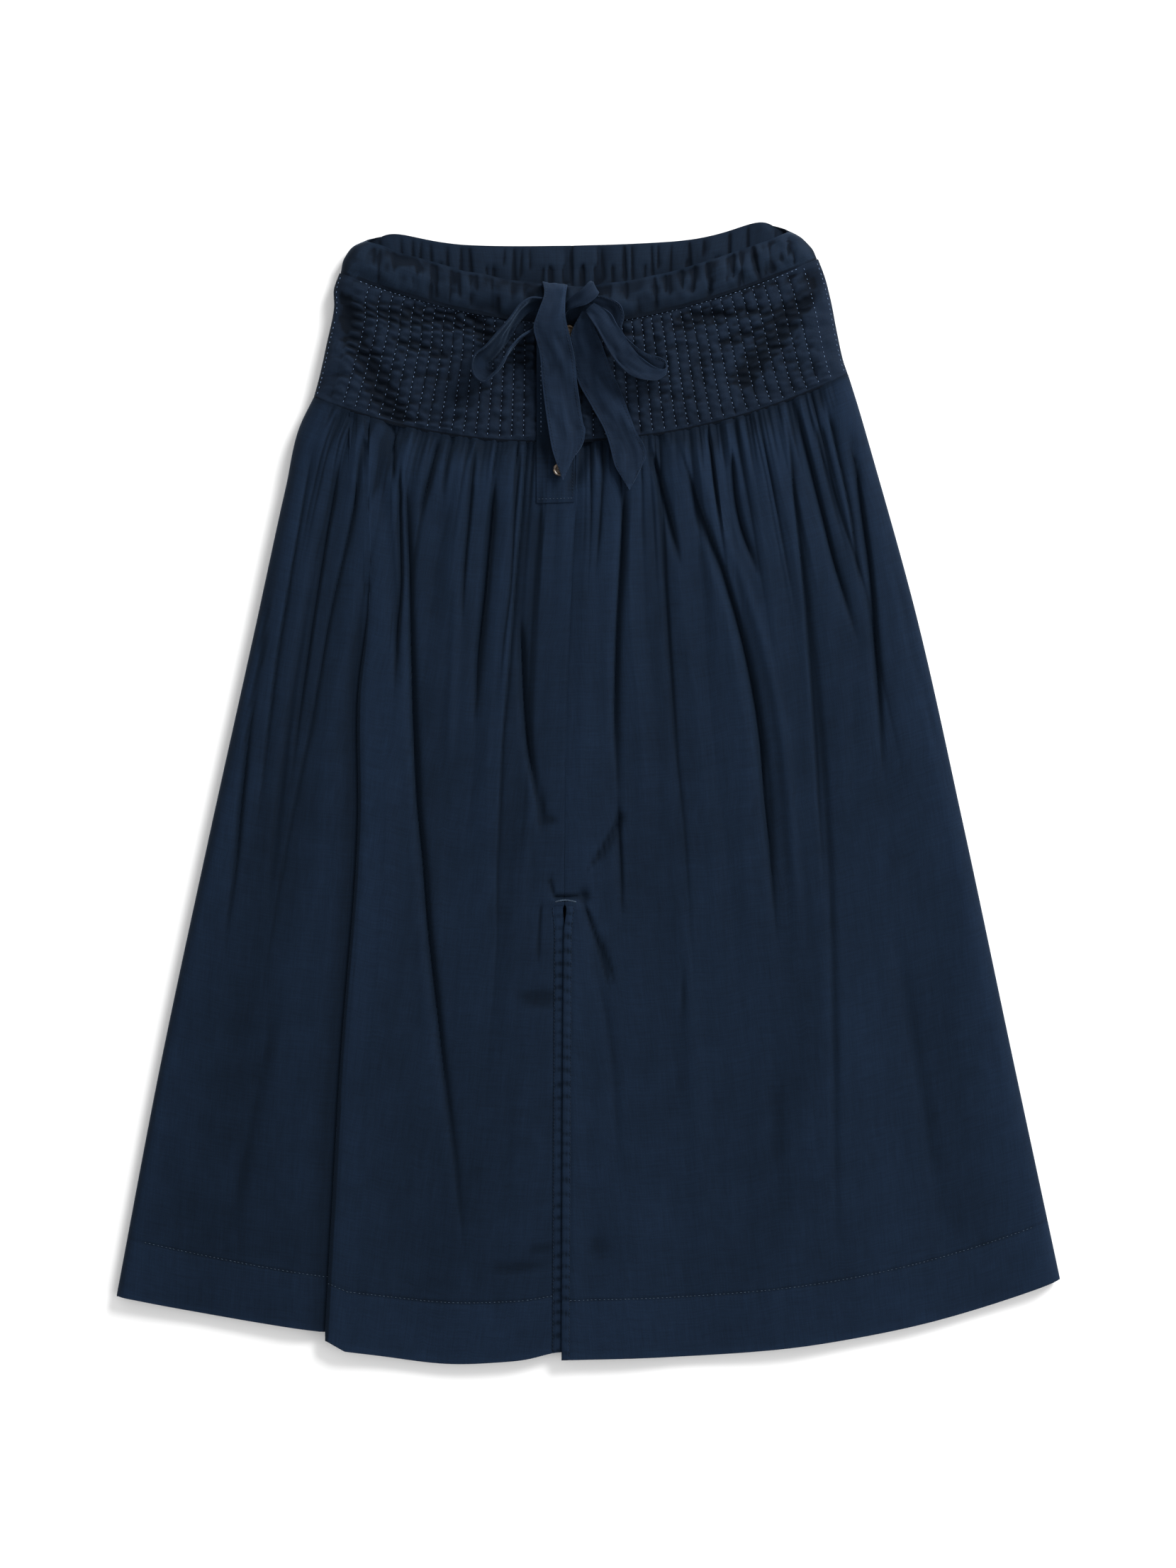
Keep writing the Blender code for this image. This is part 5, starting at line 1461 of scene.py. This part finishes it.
def ribbon(name, node, sections, wall, flat, kind, crumple, cup, tone_and_shade):
    """A strip of the tie through its sections, and the two runs that its edge stitches follow."""
    sections = np.array(sections, float)
    steps = np.linalg.norm(np.diff(sections, axis=0), axis=1)
    knots = np.concatenate([[0.0], np.cumsum(steps)])
    stations = np.interp(np.linspace(0, len(knots) - 1, 8 * (len(knots) - 1) + 1), range(len(knots)), knots)
    edges = np.stack([through(knots, column, stations) for column in sections.T], axis=1)
    first, second = edges[:, None, :3], edges[:, None, 3:]
    share = np.linspace(0, 1, TIE_COLUMNS)[None, :]
    outer = first * (1 - share[..., None]) + second * share[..., None]
    width = np.linalg.norm(second - first, axis=2)
    middle = (edges[:, :3] + edges[:, 3:]) / 2
    down = np.concatenate([[0.0], np.cumsum(np.linalg.norm(np.diff(middle, axis=0), axis=1))])[:, None]
    across = (share - 0.5) * width
    waves = rumple(across, down, 7.0, 16.0, kind) + 0.45 * rumple(across, down, 3.5, 8.0, kind + 1)
    from_middle = abs(share - 0.5)
    inside = ease((0.5 - from_middle) / 0.14)
    lift = crumple * waves * inside * ease(width / 14.0) - cup * inside * width / 20.0
    outer = outer + normals_of(outer) * lift[..., None]
    # The turned edges and the tails' doubled tips have faded most. The colour follows the crumples, with
    # painted shade in their hollows, and the tone adds painted shade to the loops and the knot.
    wear_and_shade = 0.45 * waves + tone_and_shade + 0.45 * ease((from_middle - 0.44) / 0.05)
    if "tail" in node:
        wear_and_shade += 0.9 * ease(5.0 - (down[-1] - down)) * ease((14.0 - width) / 12.0)
    inner = set_back(outer, wall, (None, None, None, None))
    piece = cloth_wall(name, outer, inner, tie_twill, np.clip(wear_and_shade, -1.4, 2.0))
    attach(piece, "root")
    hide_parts(node)
    rows = np.linspace(1.0, outer.shape[0] - 2.0, 400)
    return [on_cloth(outer, rows, column) for column in (1.5, TIE_COLUMNS - 2.5)]


tie_twill = cloth_material("tie_twill", (0.0018, 0.0050, 0.0118), (0.0083, 0.0171, 0.0358))
# Each strip: its sections, its wall, its flat length, and its kind, crumple, cup and tone, which is painted
# shade on the loops.
TIE_STRIPS = {
    "tail_left": (TAIL_LEFT, 1.4, 0.165, (111, 0.9, 0.0, 0.4)),
    "tail_right": (TAIL_RIGHT, 1.4, 0.145, (121, 1.3, 0.0, 0.15)),
    "loop_left": (LOOP_LEFT, 1.2, 0.135, (131, 1.1, 0.6, -0.55)),
    "loop_right": (LOOP_RIGHT, 1.2, 0.150, (141, 1.3, -0.6, -0.35)),
}
tie_runs = []
for strip, (sections, wall, length, look) in TIE_STRIPS.items():
    tie_runs += ribbon(f"tie_{strip}_cloth", f"tie_{strip}", sections, wall, (0.0255, length), *look)
ribbon("tie_knot_cloth", "tie_knot", KNOT, 2.2, (0.018, 0.036), 151, 1.6, -0.8, -0.4)
sew("tie_stitches", tie_runs, 2.6, 1.6, 0.4, navy_thread, 0.05)


# ----------------------------------------------------------------------------------------------------
# The plain pale floor, the soft studio light and the camera. The skirt lies on the floor, and the
# camera looks straight down at it.

paper, _, paper_shader = new_material("white_paper")
paper_shader["Base Color"].default_value = (0.97, 0.97, 0.97, 1.0)
paper_shader["Roughness"].default_value = 0.9
floor_grid = bmesh.new()
bmesh.ops.create_grid(floor_grid, x_segments=1, y_segments=1, size=6.0)
floor = piece_of("floor", floor_grid, paper)

sky = bpy.data.worlds.new("studio")
bpy.context.scene.world = sky
sky.use_nodes = True
sky.node_tree.nodes["Background"].inputs["Color"].default_value = (1.0, 1.0, 1.0, 1.0)
sky.node_tree.nodes["Background"].inputs["Strength"].default_value = 0.72
bpy.context.scene.view_settings.view_transform = "Standard"


def soft_light(name, place, size, energy):
    """A broad light that faces the skirt."""
    lamp = bpy.data.lights.new(name, "AREA")
    lamp.shape = "RECTANGLE"
    lamp.size, lamp.size_y = size
    lamp.energy = energy
    light = bpy.data.objects.new(name, lamp)
    light.location = place
    light.rotation_euler = (-Vector(place)).to_track_quat("-Z", "Y").to_euler()
    bpy.context.scene.collection.objects.link(light)


soft_light("key_light", (2.1, 2.4, 2.1), (1.6, 1.4), 185.0)
soft_light("side_light", (2.0, -0.7, 1.3), (0.8, 1.4), 10.0)

lens = bpy.data.cameras.new("camera")
lens.lens = 67.5
lens.sensor_width = 36.0
camera = bpy.data.objects.new("camera", lens)
camera.location = (0.0003, 0.0077, 2.3)
bpy.context.scene.collection.objects.link(camera)
bpy.context.scene.camera = camera
